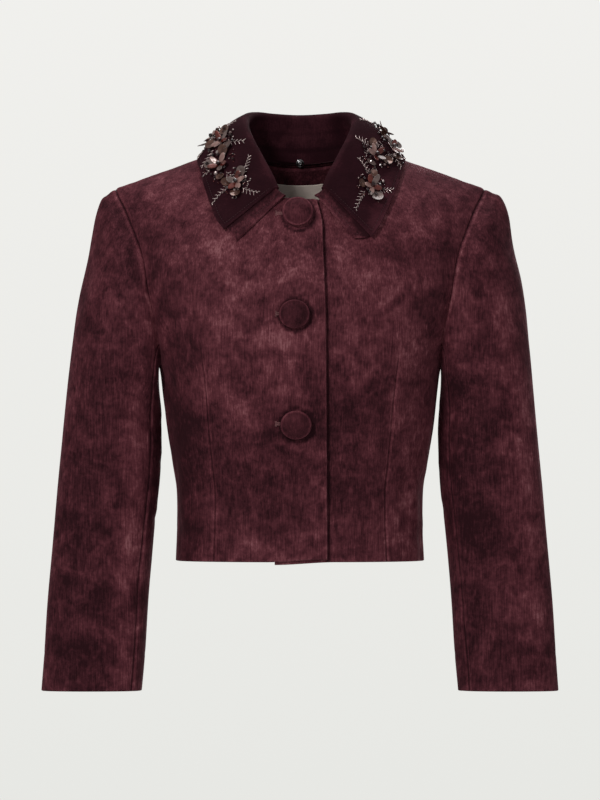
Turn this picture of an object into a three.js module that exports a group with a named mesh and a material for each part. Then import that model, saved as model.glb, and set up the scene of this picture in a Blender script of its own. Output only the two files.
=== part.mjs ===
import * as THREE from 'three';

// Cropped velvet jacket in the hollow form it has when worn, with nobody in it.
// Millimetres, +Z up. The front faces -Y and +X is the wearer's left. The origin is on the
// centre line, level with the shoulder seams where they meet the neck.

const degree = Math.PI / 180;

// Cloth and seams
const cloth = 2.2;
const collarCloth = 1.8;
const facingCloth = 1.0;
const seamGap = 0.3;

// Heights of the body and the line of the shoulder
const hemZ = -449;
const underarmZ = -232;
const shoulder = { neckX: 80, neckZ: 5.5, slope: 0.355, ridgeY: 4 };

// A body section is a rounded oval: |x / half| ^ 2.4 + |y / depth| ^ 2.4 = 1.
// level 0 is the hem, 1 the underarm and 2 the shoulder seam.
const ovalPower = 2.4;
const riseBend = 0.909;
const frontBend = 1.2;
const backBend = 1.1;

const widthRows = [
  { level: 0, half: 137 },
  { level: 0.18, half: 135.5 },
  { level: 0.36, half: 136 },
  { level: 0.49, half: 140.5 },
  { level: 0.63, half: 145 },
  { level: 0.82, half: 150.5 },
  { level: 1, half: 156 },
  { level: 1.1, half: 166 },
  { level: 1.25, half: 184 },
  { level: 1.5, half: 200.5 },
  { level: 1.75, half: 206.5 },
  { level: 2, half: 209.5 },
];

const depthRows = [
  { level: 0, front: 104, back: 92 },
  { level: 0.18, front: 103.5, back: 89 },
  { level: 0.36, front: 105, back: 86 },
  { level: 0.49, front: 108, back: 87 },
  { level: 0.63, front: 112, back: 90 },
  { level: 0.82, front: 117, back: 95 },
  { level: 1, front: 120, back: 98 },
];

// Armhole seam, from the underarm to the shoulder. turn is the angle round the body from its
// centre front, in degrees.
const armholeRows = {
  front: [
    { level: 1, turn: 90 },
    { level: 1.01, turn: 80 },
    { level: 1.05, turn: 73 },
    { level: 1.2, turn: 65.5 },
    { level: 1.38, turn: 61.5 },
    { level: 1.6, turn: 67 },
    { level: 1.8, turn: 74.5 },
    { level: 2, turn: 76.1 },
  ],
  back: [
    { level: 1, turn: 90 },
    { level: 1.01, turn: 99 },
    { level: 1.05, turn: 105 },
    { level: 1.2, turn: 111 },
    { level: 1.4, turn: 114 },
    { level: 1.6, turn: 110 },
    { level: 1.8, turn: 104.5 },
    { level: 2, turn: 103.9 },
  ],
};
const sideSeamShift = 12;

// Neckline in plan, as two half ovals that meet at the shoulder seams
const neckline = { half: 80, back: 51, front: 81.5, end: 163 };

// Centre fronts. reach is how far each front passes the centre line.
const edgeRows = [
  { z: -449, right: 30, left: 28 },
  { z: -178, right: 28, left: 28 },
  { z: -100, right: 25, left: 28 },
  { z: -75, right: 24, left: 27 },
  { z: -51, right: 18, left: 24 },
];
const topEdgeZ = { right: -53, left: -55 };
const underlap = { depth: cloth + 0.9, full: 34, clear: 70 };
const edgeLift = { height: 1.2, width: 14 };
const hemCorner = { right: 3, left: -3, width: 60, height: 120, across: 180 };
const dart = { x: 95, topZ: -217, halfWidth: 5, depth: 1.2 };

// Grid of each panel: intervals up the side and along the top
const seamRows = 10;
const armholeSteps = 14;
const panelRows = seamRows + armholeSteps;
const topEdgeSteps = 3;
const neckSteps = 9;
const shoulderSteps = 5;
const frontColumns = topEdgeSteps + neckSteps + shoulderSteps;
const columnFan = 40;
const backColumns = 2 * (shoulderSteps + neckSteps);

// Sleeves. inner and outer are the x of the sleeve's two sides, middleY and deep place its oval.
// squareness below 1 fills the oval towards a box.
const sleeveRows = [
  { z: -310, inner: 152, outer: 262, middleY: -4, deep: 49 },
  { z: -362, inner: 154.5, outer: 267, middleY: -6, deep: 46 },
  { z: -410, inner: 160, outer: 271, middleY: -9, deep: 42 },
  { z: -492, inner: 167, outer: 278, middleY: -14, deep: 37 },
  { z: -550, inner: 170.5, outer: 281.5, middleY: -18, deep: 34 },
  { z: -592, inner: 174, outer: 284.5, middleY: -21, deep: 32 },
];
const sleeve = {
  capZ: -310, cuffZ: -592, capSteps: 8, lowerSteps: 11,
  columns: 28, frontSeam: 3, backSeam: 20, squareness: 0.92,
};

// How the head leaves the armhole. reach is the length of the curve's first handle at the underarm
// and at the shoulder, and endReach that of its last, as a share of the distance. sideways and
// spread weigh the first handle's two directions.
const sleeveHead = {
  middleY: 4, middleZ: -130, reach: 25, topReach: { right: 32, left: 41 }, endReach: 0.42,
  sideways: 0.15, topSideways: 1, spread: 1, topSpread: 0.3, frontSpread: 0.45,
  seamOut: 0.4, topSeamOut: 1, seamLift: 1, topSeamLift: 0.4,
};

// Soft folds of the sleeves. turn is the angle round the sleeve from its inner side by way of the
// front, z the height, depth and width the size of the trough.
const millimetresPerTurn = 0.9;
const foldEnds = 0.55;
const sleeveFolds = [
  { side: 1, turn: 20, z: -290, endTurn: 95, endZ: -262, depth: 3.4, width: 20 },
  { side: 1, turn: 62, z: -520, endTurn: 30, endZ: -590, depth: 2.4, width: 20 },
  { side: 1, turn: 250, z: -410, endTurn: 320, endZ: -380, depth: 3.0, width: 22 },
  { side: -1, turn: 15, z: -300, endTurn: 80, endZ: -268, depth: 3.0, width: 20 },
  { side: -1, turn: 40, z: -475, endTurn: 95, endZ: -440, depth: 2.2, width: 22 },
  { side: -1, turn: 255, z: -430, endTurn: 325, endZ: -392, depth: 3.0, width: 22 },
  { side: -1, turn: 150, z: -92, endTurn: 210, endZ: -92, depth: 4.5, width: 30 },
  { side: 1, turn: 150, z: -102, endTurn: 210, endZ: -102, depth: 3.6, width: 30 },
];

// Soft folds of the body. x and z give both ends of each trough, on the front or the back.
const bodyFolds = [
  { ahead: true, x: -150, z: -250, endX: -116, endZ: -268, depth: 2.4, width: 18 },
  { ahead: true, x: 149, z: -254, endX: 112, endZ: -275, depth: 2.0, width: 18 },
  { ahead: false, x: -134, z: -326, endX: -52, endZ: -350, depth: 2.6, width: 22 },
  { ahead: false, x: 136, z: -314, endX: 46, endZ: -342, depth: 2.8, width: 24 },
  { ahead: false, x: 144, z: -252, endX: 98, endZ: -276, depth: 2.0, width: 20 },
];

// Collar: a stand from the neckline to the roll line, a tight roll, and a fall down to the outer edge.
// turn is the angle round the neck from the back. The first row only sets the slope at the back.
const rollRows = [
  { turn: -30, x: -29, y: 36.2, z: 39.8 },
  { turn: 0, x: 0, y: 44, z: 38.7 },
  { turn: 30, x: 29, y: 36.2, z: 39.8 },
  { turn: 50, x: 45.5, y: 22.5, z: 40.8 },
  { turn: 70, x: 57, y: 2, z: 38.4 },
  { turn: 90, x: 60.5, y: -18, z: 30.5 },
  { turn: 110, x: 56, y: -39.2, z: 15.5 },
  { turn: 130, x: 45.3, y: -57.9, z: -6 },
  { turn: 147, x: 33, y: -70, z: -29.5 },
  { turn: 154.9, x: 27, y: -74.3, z: -43 },
  { turn: 163, x: 17.4, y: -78.3, z: -50 },
];
const rollRadius = 1.5;
const sweepRange = { least: 100, most: 168 };

// Plan of the collar's outer edge on the wearer's right and left
const collarEdgeRows = [
  { turn: -30, rightX: -50, rightY: 58, leftX: -50, leftY: 58 },
  { turn: 0, rightX: 0, rightY: 66, leftX: 0, leftY: 66 },
  { turn: 30, rightX: 50, rightY: 58, leftX: 50, leftY: 58 },
  { turn: 60, rightX: 94, rightY: 33, leftX: 95, leftY: 33 },
  { turn: 90, rightX: 110.5, rightY: -8, leftX: 113, leftY: -7 },
  { turn: 110, rightX: 108, rightY: -34, leftX: 111, leftY: -30 },
  { turn: 130, rightX: 102.7, rightY: -55.5, leftX: 103.5, leftY: -57 },
  { turn: 147, rightX: 92.5, rightY: -77.5, leftX: 90, leftY: -80 },
  { turn: 154.9, rightX: 82.4, rightY: -87, leftX: 77.5, leftY: -91.5 },
  { turn: 163, rightX: 71.7, rightY: -95, leftX: 60.5, leftY: -95.8 },
];

// Form of the fall: bulge is how far it leaves the straight line at the roll, in degrees, and press
// how steeply it meets the body at its edge. From straightFrom to straightTo it turns straight, so
// that the collar's front edges look straight from the front.
const fallRows = [
  { turn: 0, bulge: 15, press: 0.9 },
  { turn: 60, bulge: 20, press: 1.15 },
  { turn: 105, bulge: 20, press: 1.15 },
  { turn: 130, bulge: 8, press: 1.05 },
  { turn: 147, bulge: 0, press: 1 },
  { turn: 163, bulge: 0, press: 1 },
];
const fall = { lift: 1.2, reach: 0.35, straightFrom: 110, straightTo: 150, leastFacing: 0.3 };

// How far apart the points are that give the collar's normals, in degrees and in height
const collarTurnStep = 0.6;
const collarHeightStep = 0.01;

const standSteps = 3;
const rollSteps = 3;
const fallSteps = 6;
const collarHeights = [
  ...Array.from({ length: standSteps + 1 }, (_, i) => i / standSteps),
  ...Array.from({ length: rollSteps }, (_, i) => 1 + (i + 1) / rollSteps),
  ...Array.from({ length: fallSteps }, (_, i) => 2 + (i + 1) / fallSteps),
];
const undercollarEnd = 2.96;
const overcollar = { gap: 0.4, start: 0.06, endStep: 17 };

// Raised clusters of sewn beads and petals on the over-collar. turn and fall place each one: fall
// runs from 0 at the roll to 1 at the outer edge.
const clusterRim = { inner: 0.55, outer: 1.2 };
const beadClusters = [
  { turn: -84, fall: 0.62, spread: 13, height: 1.6 },
  { turn: -104, fall: 0.44, spread: 12, height: 1.8 },
  { turn: -122, fall: 0.62, spread: 14, height: 2.0 },
  { turn: -140, fall: 0.5, spread: 13, height: 2.0 },
  { turn: 80, fall: 0.5, spread: 14, height: 2.0 },
  { turn: 97, fall: 0.7, spread: 13, height: 1.8 },
  { turn: 118, fall: 0.5, spread: 13, height: 1.8 },
  { turn: 137, fall: 0.66, spread: 14, height: 2.0 },
];

// Inside of the back neck
const facing = { gap: 0.5, rows: 4, firstColumn: 7, lastColumn: 21 };
const label = { gap: 0.4, thickness: 1.0, rows: [21.25, 22, 22.8], columns: [11.9, 13, 14, 15, 16.1] };

// Covered buttons on shanks. tilt is how far each one droops from the cloth's own slope, in degrees.
const buttons = [
  { x: -2.5, z: -68, width: 34, height: 33.5, tilt: 7 },
  { x: -6.1, z: -178, width: 33.5, height: 31, tilt: 10 },
  { x: -4.4, z: -298, width: 34.5, height: 32, tilt: 6 },
];
const buttonBody = { radius: 17, foot: 4, sides: 24 };
const snap = { diameter: 10.4, atHeight: 0.1, gap: 0.5, sides: 20 };

// Outlines of the turned shapes, from the middle underneath to the middle on top, as radius and height
const buttonOutline = [
  [0, 0], [4, 0], [4, 3.2], [15.8, 3.6], [17, 4.8],
  [16.5, 6.6], [13.8, 6.3], [10.2, 9.1], [5.1, 10.1], [0, 10.4],
];
const snapOutline = [[0, 0], [5.2, 0], [5.2, 0.9], [3.75, 2.1], [1.8, 2.6], [0, 2.6]];

const velvet = { color: 0x5a2029, roughness: 0.85, metalness: 0 };
const darkVelvet = { color: 0x3c161d, roughness: 0.7, metalness: 0 };
const labelCloth = { color: 0x82766f, roughness: 0.8, metalness: 0 };
const buttonCloth = { color: 0x4d1b24, roughness: 0.6, metalness: 0 };
const snapMetal = { color: 0x3a3a3c, roughness: 0.35, metalness: 1 };

function clamp(value, low, high) {
  return Math.min(Math.max(value, low), high);
}

function fade(from, to, at) {
  const t = clamp((at - from) / (to - from), 0, 1);
  return t * t * (3 - 2 * t);
}

// Smooth curve through the rows of a table, read at any key between them
function tableValue(rows, key, column, at) {
  const last = rows.length - 1;
  if (at <= rows[0][key]) return rows[0][column];
  if (at >= rows[last][key]) return rows[last][column];
  let index = 0;
  while (at > rows[index + 1][key]) index += 1;
  const slopeAt = (row) => {
    const before = rows[Math.max(row - 1, 0)];
    const after = rows[Math.min(row + 1, last)];
    return (after[column] - before[column]) / (after[key] - before[key]);
  };
  const start = rows[index];
  const end = rows[index + 1];
  const span = end[key] - start[key];
  const t = (at - start[key]) / span;
  const bend = t * t * (3 - 2 * t);
  return start[column] * (1 - bend) + end[column] * bend
    + span * (slopeAt(index) * t * (1 - t) ** 2 - slopeAt(index + 1) * t * t * (1 - t));
}

// The body as one smooth surface
function shoulderZ(x) {
  const { neckX, neckZ, slope } = shoulder;
  const away = Math.abs(x);
  if (away > neckX) return neckZ - slope * (away - neckX);
  return neckZ + slope * (neckX * neckX - away * away) / (2 * neckX);
}

function halfWidth(level) {
  return tableValue(widthRows, 'level', 'half', level);
}

function torsoPoint(turn, level) {
  const lean = Math.max(level - 1, 0) * 90 * degree;
  const rise = Math.sin(lean) ** riseBend;
  const aside = Math.sin(turn * degree);
  const ahead = Math.cos(turn * degree);
  const x = halfWidth(level) * Math.sign(aside) * Math.abs(aside) ** (2 / ovalPower);
  const column = ahead > 0 ? 'front' : 'back';
  const bend = ahead > 0 ? frontBend : backBend;
  const depth = tableValue(depthRows, 'level', column, level) * Math.abs(Math.cos(lean)) ** bend;
  const y = -Math.sign(ahead) * depth * Math.abs(ahead) ** (2 / ovalPower) + shoulder.ridgeY * rise * rise;
  const z = level < 1 ? hemZ + (underarmZ - hemZ) * level : underarmZ + rise * (shoulderZ(x) - underarmZ);
  return new THREE.Vector3(x, y, z);
}

function torsoNormal(turn, level) {
  const point = torsoPoint(turn, level);
  if (level > 1.995) {
    const slope = Math.abs(point.x) < shoulder.neckX ? point.x / shoulder.neckX : Math.sign(point.x);
    return new THREE.Vector3(shoulder.slope * slope, 0, 1).normalize();
  }
  const turnStep = 0.2;
  const levelStep = 0.004;
  const across = torsoPoint(turn + turnStep, level).sub(torsoPoint(turn - turnStep, level));
  const upward = torsoPoint(turn, level + levelStep).sub(torsoPoint(turn, level - levelStep));
  return across.cross(upward).normalize();
}

// Angle round the body, from the centre front or back, of a point at this x
function turnAtX(x, level) {
  return Math.asin(clamp((Math.abs(x) / halfWidth(level)) ** (ovalPower / 2), 0, 1)) / degree;
}

function levelAtHeight(z, x) {
  if (z < underarmZ) return (z - hemZ) / (underarmZ - hemZ);
  const rise = clamp((z - underarmZ) / (shoulderZ(x) - underarmZ), 0, 1);
  return 1 + Math.asin(rise ** (1 / riseBend)) / (90 * degree);
}

// Place on the body's surface above a point of the plan; turn is measured from the centre front
function torsoAtPlan(x, y) {
  let level = 1.6;
  let turn = 0;
  let ahead = true;
  for (let round = 0; round < 60; round += 1) {
    const lean = (level - 1) * 90 * degree;
    const depthY = y - shoulder.ridgeY * Math.sin(lean) ** (2 * riseBend);
    ahead = depthY < 0;
    turn = turnAtX(x, level);
    const depth = depthRows[depthRows.length - 1][ahead ? 'front' : 'back'];
    const reach = depth * Math.cos(turn * degree) ** (2 / ovalPower);
    const bend = ahead ? frontBend : backBend;
    const cosine = clamp(Math.abs(depthY) / reach, 0, 1) ** (1 / bend);
    level = 0.5 * (level + 1 + Math.acos(cosine) / (90 * degree));
  }
  const signed = Math.sign(x || 1) * (ahead ? turn : 180 - turn);
  return { turn: signed, level };
}

function bodyFoldDepth(point) {
  let total = 0;
  for (const fold of bodyFolds) {
    if (fold.ahead !== point.y < 0) continue;
    total -= fold.depth * troughShape(point.x, point.z, fold.x, fold.z, fold.endX, fold.endZ, fold.width);
  }
  return total * fade(4, 34, Math.abs(point.y));
}

// 1 on the line of a trough, falling smoothly to 0 away from it and past its ends
function troughShape(a, b, startA, startB, endA, endB, width) {
  const lengthSquared = (endA - startA) ** 2 + (endB - startB) ** 2;
  const along = ((a - startA) * (endA - startA) + (b - startB) * (endB - startB)) / lengthSquared;
  const near = clamp(along, 0, 1);
  const away = Math.hypot(a - startA - near * (endA - startA), b - startB - near * (endB - startB));
  return Math.exp(-((away / width) ** 2)) * (foldEnds + (1 - foldEnds) * Math.sin(Math.PI * near));
}

// How far a front stands off the smooth surface: the top layer's edge lifts, the bottom layer sinks
function frontRelief(side, point) {
  const ownX = side * point.x;
  const reach = tableValue(edgeRows, 'z', side > 0 ? 'left' : 'right', point.z);
  const lift = side > 0 ? 0 : edgeLift.height * (1 - fade(0, edgeLift.width, ownX + reach));
  const sink = side > 0 ? underlap.depth * (1 - fade(underlap.full, underlap.clear, ownX)) : 0;
  return lift - sink;
}

function surfaceSpot(turn, level, extra) {
  const point = torsoPoint(turn, level);
  const normal = torsoNormal(turn, level);
  const offset = extra(point) + bodyFoldDepth(point);
  return { point: point.addScaledVector(normal, offset), normal };
}

// Seams in terms of turn and level, from the underarm up, at even spacing
function evenArmhole(rows) {
  const fine = 240;
  const spots = [];
  let length = 0;
  let before = null;
  for (let i = 0; i <= fine; i += 1) {
    const at = (i / fine) * (rows.length - 1);
    const indexed = rows.map((row, index) => ({ ...row, index }));
    const turn = tableValue(indexed, 'index', 'turn', at);
    const level = Math.min(tableValue(indexed, 'index', 'level', at), 2);
    const point = torsoPoint(turn, level);
    if (before) length += point.distanceTo(before);
    spots.push({ length, turn, level });
    before = point;
  }
  return (step) => {
    const at = (step / armholeSteps) * length;
    return {
      turn: linearValue(spots, 'length', 'turn', at),
      level: linearValue(spots, 'length', 'level', at),
    };
  };
}

function linearValue(rows, key, column, at) {
  let index = 0;
  while (index < rows.length - 2 && at > rows[index + 1][key]) index += 1;
  const start = rows[index];
  const end = rows[index + 1];
  const t = clamp((at - start[key]) / (end[key] - start[key]), 0, 1);
  return start[column] + t * (end[column] - start[column]);
}

const armhole = { front: evenArmhole(armholeRows.front), back: evenArmhole(armholeRows.back) };

function sideSeam(row) {
  const level = row / seamRows;
  return { turn: 90 - sideSeamShift * (1 - level), level };
}

function necklinePlan(turn) {
  const aside = Math.sin(turn * degree);
  const depth = Math.abs(turn) < 90 ? neckline.back : neckline.front;
  const y = depth * Math.cos(turn * degree) + shoulder.ridgeY * aside * aside;
  return torsoAtPlan(neckline.half * aside, y);
}

function neckStepTurn(step) {
  if (step <= neckSteps) return (step * 90) / neckSteps;
  return 90 + ((step - neckSteps) * (neckline.end - 90)) / neckSteps;
}

// Fills a panel between its four borders; each border gives a turn and a level
function blendBorders(borders, rows, columns, row, column) {
  const up = row / rows;
  const across = column / columns;
  const left = borders.left(row);
  const right = borders.right(row);
  const bottom = borders.bottom(column);
  const top = borders.top(column);
  const corners = [borders.bottom(0), borders.bottom(columns), borders.top(0), borders.top(columns)];
  const mix = (name) => (1 - across) * left[name] + across * right[name]
    + (1 - up) * bottom[name] + up * top[name]
    - (1 - up) * ((1 - across) * corners[0][name] + across * corners[1][name])
    - up * ((1 - across) * corners[2][name] + across * corners[3][name]);
  const fan = (borders.fan ?? 0) * (1 - up) * up ** 4 * Math.sin(Math.PI * across);
  return { turn: mix('turn') + fan, level: Math.min(mix('level'), 2) };
}

function frontBorders(side) {
  const layer = side > 0 ? 'left' : 'right';
  const onEdge = (z) => {
    const reach = tableValue(edgeRows, 'z', layer, z);
    const level = levelAtHeight(z, 0);
    return { turn: -turnAtX(reach, level), level };
  };
  const neckEnd = { turn: necklinePlan(neckline.end).turn, level: necklinePlan(neckline.end).level };
  const shoulderTurn = turnAtX(shoulder.neckX, 2);
  const tipTurn = armholeRows.front[armholeRows.front.length - 1].turn;
  return {
    fan: columnFan,
    left: (row) => onEdge(row <= seamRows
      ? hemZ + (row / seamRows) * (underarmZ - hemZ)
      : underarmZ + ((row - seamRows) / armholeSteps) * (topEdgeZ[layer] - underarmZ)),
    right: (row) => (row <= seamRows ? sideSeam(row) : armhole.front(row - seamRows)),
    bottom: (column) => {
      const dartColumn = topEdgeSteps + neckSteps - 1;
      const reach = tableValue(edgeRows, 'z', layer, hemZ);
      const beforeDart = dart.x - dart.halfWidth;
      if (column <= dartColumn - 1) {
        const x = -reach + (column / (dartColumn - 1)) * (beforeDart + reach);
        return { turn: Math.sign(x) * turnAtX(x, 0), level: 0 };
      }
      if (column <= dartColumn + 1) {
        return { turn: turnAtX(dart.x + (column - dartColumn) * dart.halfWidth, 0), level: 0 };
      }
      const start = turnAtX(dart.x + dart.halfWidth, 0);
      const t = (column - dartColumn - 1) / (frontColumns - dartColumn - 1);
      return { turn: start + t * (90 - sideSeamShift - start), level: 0 };
    },
    top: (column) => {
      if (column < topEdgeSteps) {
        const corner = onEdge(topEdgeZ[layer]);
        const t = column / topEdgeSteps;
        return {
          turn: corner.turn + t * (neckEnd.turn - corner.turn),
          level: corner.level + t * (neckEnd.level - corner.level),
        };
      }
      if (column < topEdgeSteps + neckSteps) {
        return necklinePlan(neckStepTurn(2 * neckSteps - (column - topEdgeSteps)));
      }
      const t = (column - topEdgeSteps - neckSteps) / shoulderSteps;
      return { turn: shoulderTurn + t * (tipTurn - shoulderTurn), level: 2 };
    },
  };
}

// The back is laid out by its angle from the centre back, so that both halves are one patch
function backBorders() {
  const fromBack = (spot, side) => ({ turn: side * (180 - Math.abs(spot.turn)), level: spot.level });
  const shoulderTurn = turnAtX(shoulder.neckX, 2);
  const tipTurn = 180 - armholeRows.back[armholeRows.back.length - 1].turn;
  const seamTurn = 90 + sideSeamShift;
  const half = backColumns / 2;
  const side = (row, sign) => fromBack(row <= seamRows ? sideSeam(row) : armhole.back(row - seamRows), sign);
  return {
    left: (row) => side(row, -1),
    right: (row) => side(row, 1),
    bottom: (column) => ({ turn: ((column - half) / half) * seamTurn, level: 0 }),
    top: (column) => {
      const sign = Math.sign(column - half);
      const steps = Math.abs(column - half);
      if (steps < neckSteps) return fromBack(necklinePlan(neckStepTurn(steps)), sign);
      const t = (steps - neckSteps) / shoulderSteps;
      return { turn: sign * (shoulderTurn + t * (tipTurn - shoulderTurn)), level: 2 };
    },
  };
}

// Spaces the rows of every column by their length on the body, as the two side borders are spaced
function evenRows(borders, columns, placeAt) {
  const fine = 4 * panelRows;
  const lines = new Map();
  const lineOf = (column) => {
    if (lines.has(column)) return lines.get(column);
    const line = [];
    for (let i = 0; i <= fine; i += 1) {
      const row = (i * panelRows) / fine;
      const spot = blendBorders(borders, panelRows, columns, row, column);
      const point = placeAt(spot);
      const before = line[i - 1];
      line.push({ row, point, length: before ? before.length + point.distanceTo(before.point) : 0 });
    }
    line.forEach((entry) => { entry.share = entry.length / line[fine].length; });
    lines.set(column, line);
    return line;
  };
  return (row, column) => {
    const across = column / columns;
    const share = (1 - across) * linearValue(lineOf(0), 'row', 'share', row)
      + across * linearValue(lineOf(columns), 'row', 'share', row);
    const spaced = linearValue(lineOf(column), 'share', 'row', share);
    return blendBorders(borders, panelRows, columns, spaced, column);
  };
}

function gridOf(rows, columns, spotAt) {
  const points = [];
  const normals = [];
  for (let row = 0; row <= rows; row += 1) {
    const spots = Array.from({ length: columns + 1 }, (_, column) => spotAt(row, column));
    points.push(spots.map((spot) => spot.point));
    normals.push(spots.map((spot) => spot.normal));
  }
  return { points, normals };
}

// Moves the points of one border into the panel, within its surface
function insetSide(grid, atEnd, fromRow, toRow, distance) {
  const column = atEnd ? grid.points[0].length - 1 : 0;
  const beside = atEnd ? column - 1 : 1;
  const shifts = [];
  for (let row = fromRow; row <= toRow; row += 1) {
    const above = grid.points[Math.min(row + 1, grid.points.length - 1)][column];
    const below = grid.points[Math.max(row - 1, 0)][column];
    const along = above.clone().sub(below).normalize();
    const inward = grid.points[row][beside].clone().sub(grid.points[row][column]);
    shifts.push(inward.addScaledVector(along, -inward.dot(along)).setLength(distance));
  }
  shifts.forEach((shift, index) => grid.points[fromRow + index][column].add(shift));
}

function insetTop(grid, fromColumn, toColumn, distance) {
  const row = grid.points.length - 1;
  const shifts = [];
  for (let column = fromColumn; column <= toColumn; column += 1) {
    const after = grid.points[row][Math.min(column + 1, grid.points[row].length - 1)];
    const before = grid.points[row][Math.max(column - 1, 0)];
    const along = after.clone().sub(before).normalize();
    const inward = grid.points[row - 1][column].clone().sub(grid.points[row][column]);
    shifts.push(inward.addScaledVector(along, -inward.dot(along)).setLength(distance));
  }
  shifts.forEach((shift, index) => grid.points[row][fromColumn + index].add(shift));
}

function frontGrid(side) {
  const borders = frontBorders(side);
  const dartColumn = topEdgeSteps + neckSteps - 1;
  const corner = side > 0 ? hemCorner.left : hemCorner.right;
  const layout = evenRows(borders, frontColumns, (spot) => torsoPoint(spot.turn, spot.level));
  const grid = gridOf(panelRows, frontColumns, (row, column) => {
    const { turn, level } = layout(row, column);
    const groove = column === dartColumn ? dart.depth : 0;
    const spot = surfaceSpot(side * turn, level, (point) => frontRelief(side, point)
      - groove * (1 - fade(dart.topZ - 30, dart.topZ, point.z)));
    const fromEdge = (column / frontColumns) * hemCorner.across;
    const fromHem = spot.point.z - hemZ;
    const near = (1 - fade(0, hemCorner.width, fromEdge)) * (1 - fade(0, hemCorner.height, fromHem));
    spot.point.z += corner * near;
    return spot;
  });
  insetSide(grid, true, 0, seamRows, seamGap / 2);
  insetTop(grid, frontColumns - shoulderSteps, frontColumns, seamGap / 2);
  return grid;
}

function backGrid() {
  const layout = evenRows(backBorders(), backColumns, (spot) => torsoPoint(180 - spot.turn, spot.level));
  const grid = gridOf(panelRows, backColumns, (row, column) => {
    const { turn, level } = layout(row, column);
    return surfaceSpot(180 - turn, level, () => 0);
  });
  insetSide(grid, true, 0, seamRows, seamGap / 2);
  insetSide(grid, false, 0, seamRows, seamGap / 2);
  insetTop(grid, 0, shoulderSteps, seamGap / 2);
  insetTop(grid, backColumns - shoulderSteps, backColumns, seamGap / 2);
  return grid;
}

// Closed wall between two skins, offset along the grid's normals
function wall(grid, outer, inner) {
  const rows = grid.points.length;
  const columns = grid.points[0].length;
  const skin = (offset) => grid.points.flatMap((line, row) => line.map((point, column) => {
    const amount = typeof offset === 'function' ? offset(row, column) : offset;
    return point.clone().addScaledVector(grid.normals[row][column], amount);
  }));
  const vertices = [...skin(outer), ...skin(inner)];
  const inside = rows * columns;
  const at = (row, column) => row * columns + column;
  const faces = [];
  const quad = (a, b, c, d) => faces.push([a, b, c], [a, c, d]);
  for (let row = 0; row < rows - 1; row += 1) {
    for (let column = 0; column < columns - 1; column += 1) {
      const corners = [at(row, column), at(row, column + 1), at(row + 1, column + 1), at(row + 1, column)];
      quad(...corners);
      faces.push([inside + corners[0], inside + corners[2], inside + corners[1]]);
      faces.push([inside + corners[0], inside + corners[3], inside + corners[2]]);
    }
  }
  const border = [];
  for (let column = 0; column < columns - 1; column += 1) border.push(at(0, column));
  for (let row = 0; row < rows - 1; row += 1) border.push(at(row, columns - 1));
  for (let column = columns - 1; column > 0; column -= 1) border.push(at(rows - 1, column));
  for (let row = rows - 1; row > 0; row -= 1) border.push(at(row, 0));
  border.forEach((start, index) => {
    const end = border[(index + 1) % border.length];
    quad(start, inside + start, inside + end, end);
  });
  return closedGeometry(vertices, faces);
}

function closedGeometry(vertices, faces) {
  const volume = faces.reduce((sum, [a, b, c]) => (
    sum + vertices[a].dot(vertices[b].clone().cross(vertices[c]))), 0);
  const index = faces.flatMap(([a, b, c]) => (volume > 0 ? [a, b, c] : [a, c, b]));
  const geometry = new THREE.BufferGeometry();
  const coordinates = vertices.flatMap((v) => v.toArray());
  geometry.setAttribute('position', new THREE.Float32BufferAttribute(coordinates, 3));
  geometry.setIndex(index);
  geometry.computeVertexNormals();
  return geometry;
}

// Sleeves: the head grows out of the armhole seam and runs into the lower rings
function sleeveRing(side, turn, z) {
  const read = (column) => tableValue([...sleeveRows].reverse(), 'z', column, z);
  const middleX = (read('inner') + read('outer')) / 2;
  const half = (read('outer') - read('inner')) / 2;
  const bend = (value) => Math.sign(value) * Math.abs(value) ** sleeve.squareness;
  const x = middleX - half * bend(Math.cos(turn * degree));
  const y = read('middleY') - read('deep') * bend(Math.sin(turn * degree));
  return new THREE.Vector3(side * x, y, z);
}

function armholeSpot(side, step) {
  const front = step <= armholeSteps;
  const { turn, level } = front ? armhole.front(step) : armhole.back(2 * armholeSteps - step);
  const extra = (point) => (front ? frontRelief(side, point) : 0);
  return surfaceSpot(side * turn, level, extra);
}

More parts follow.
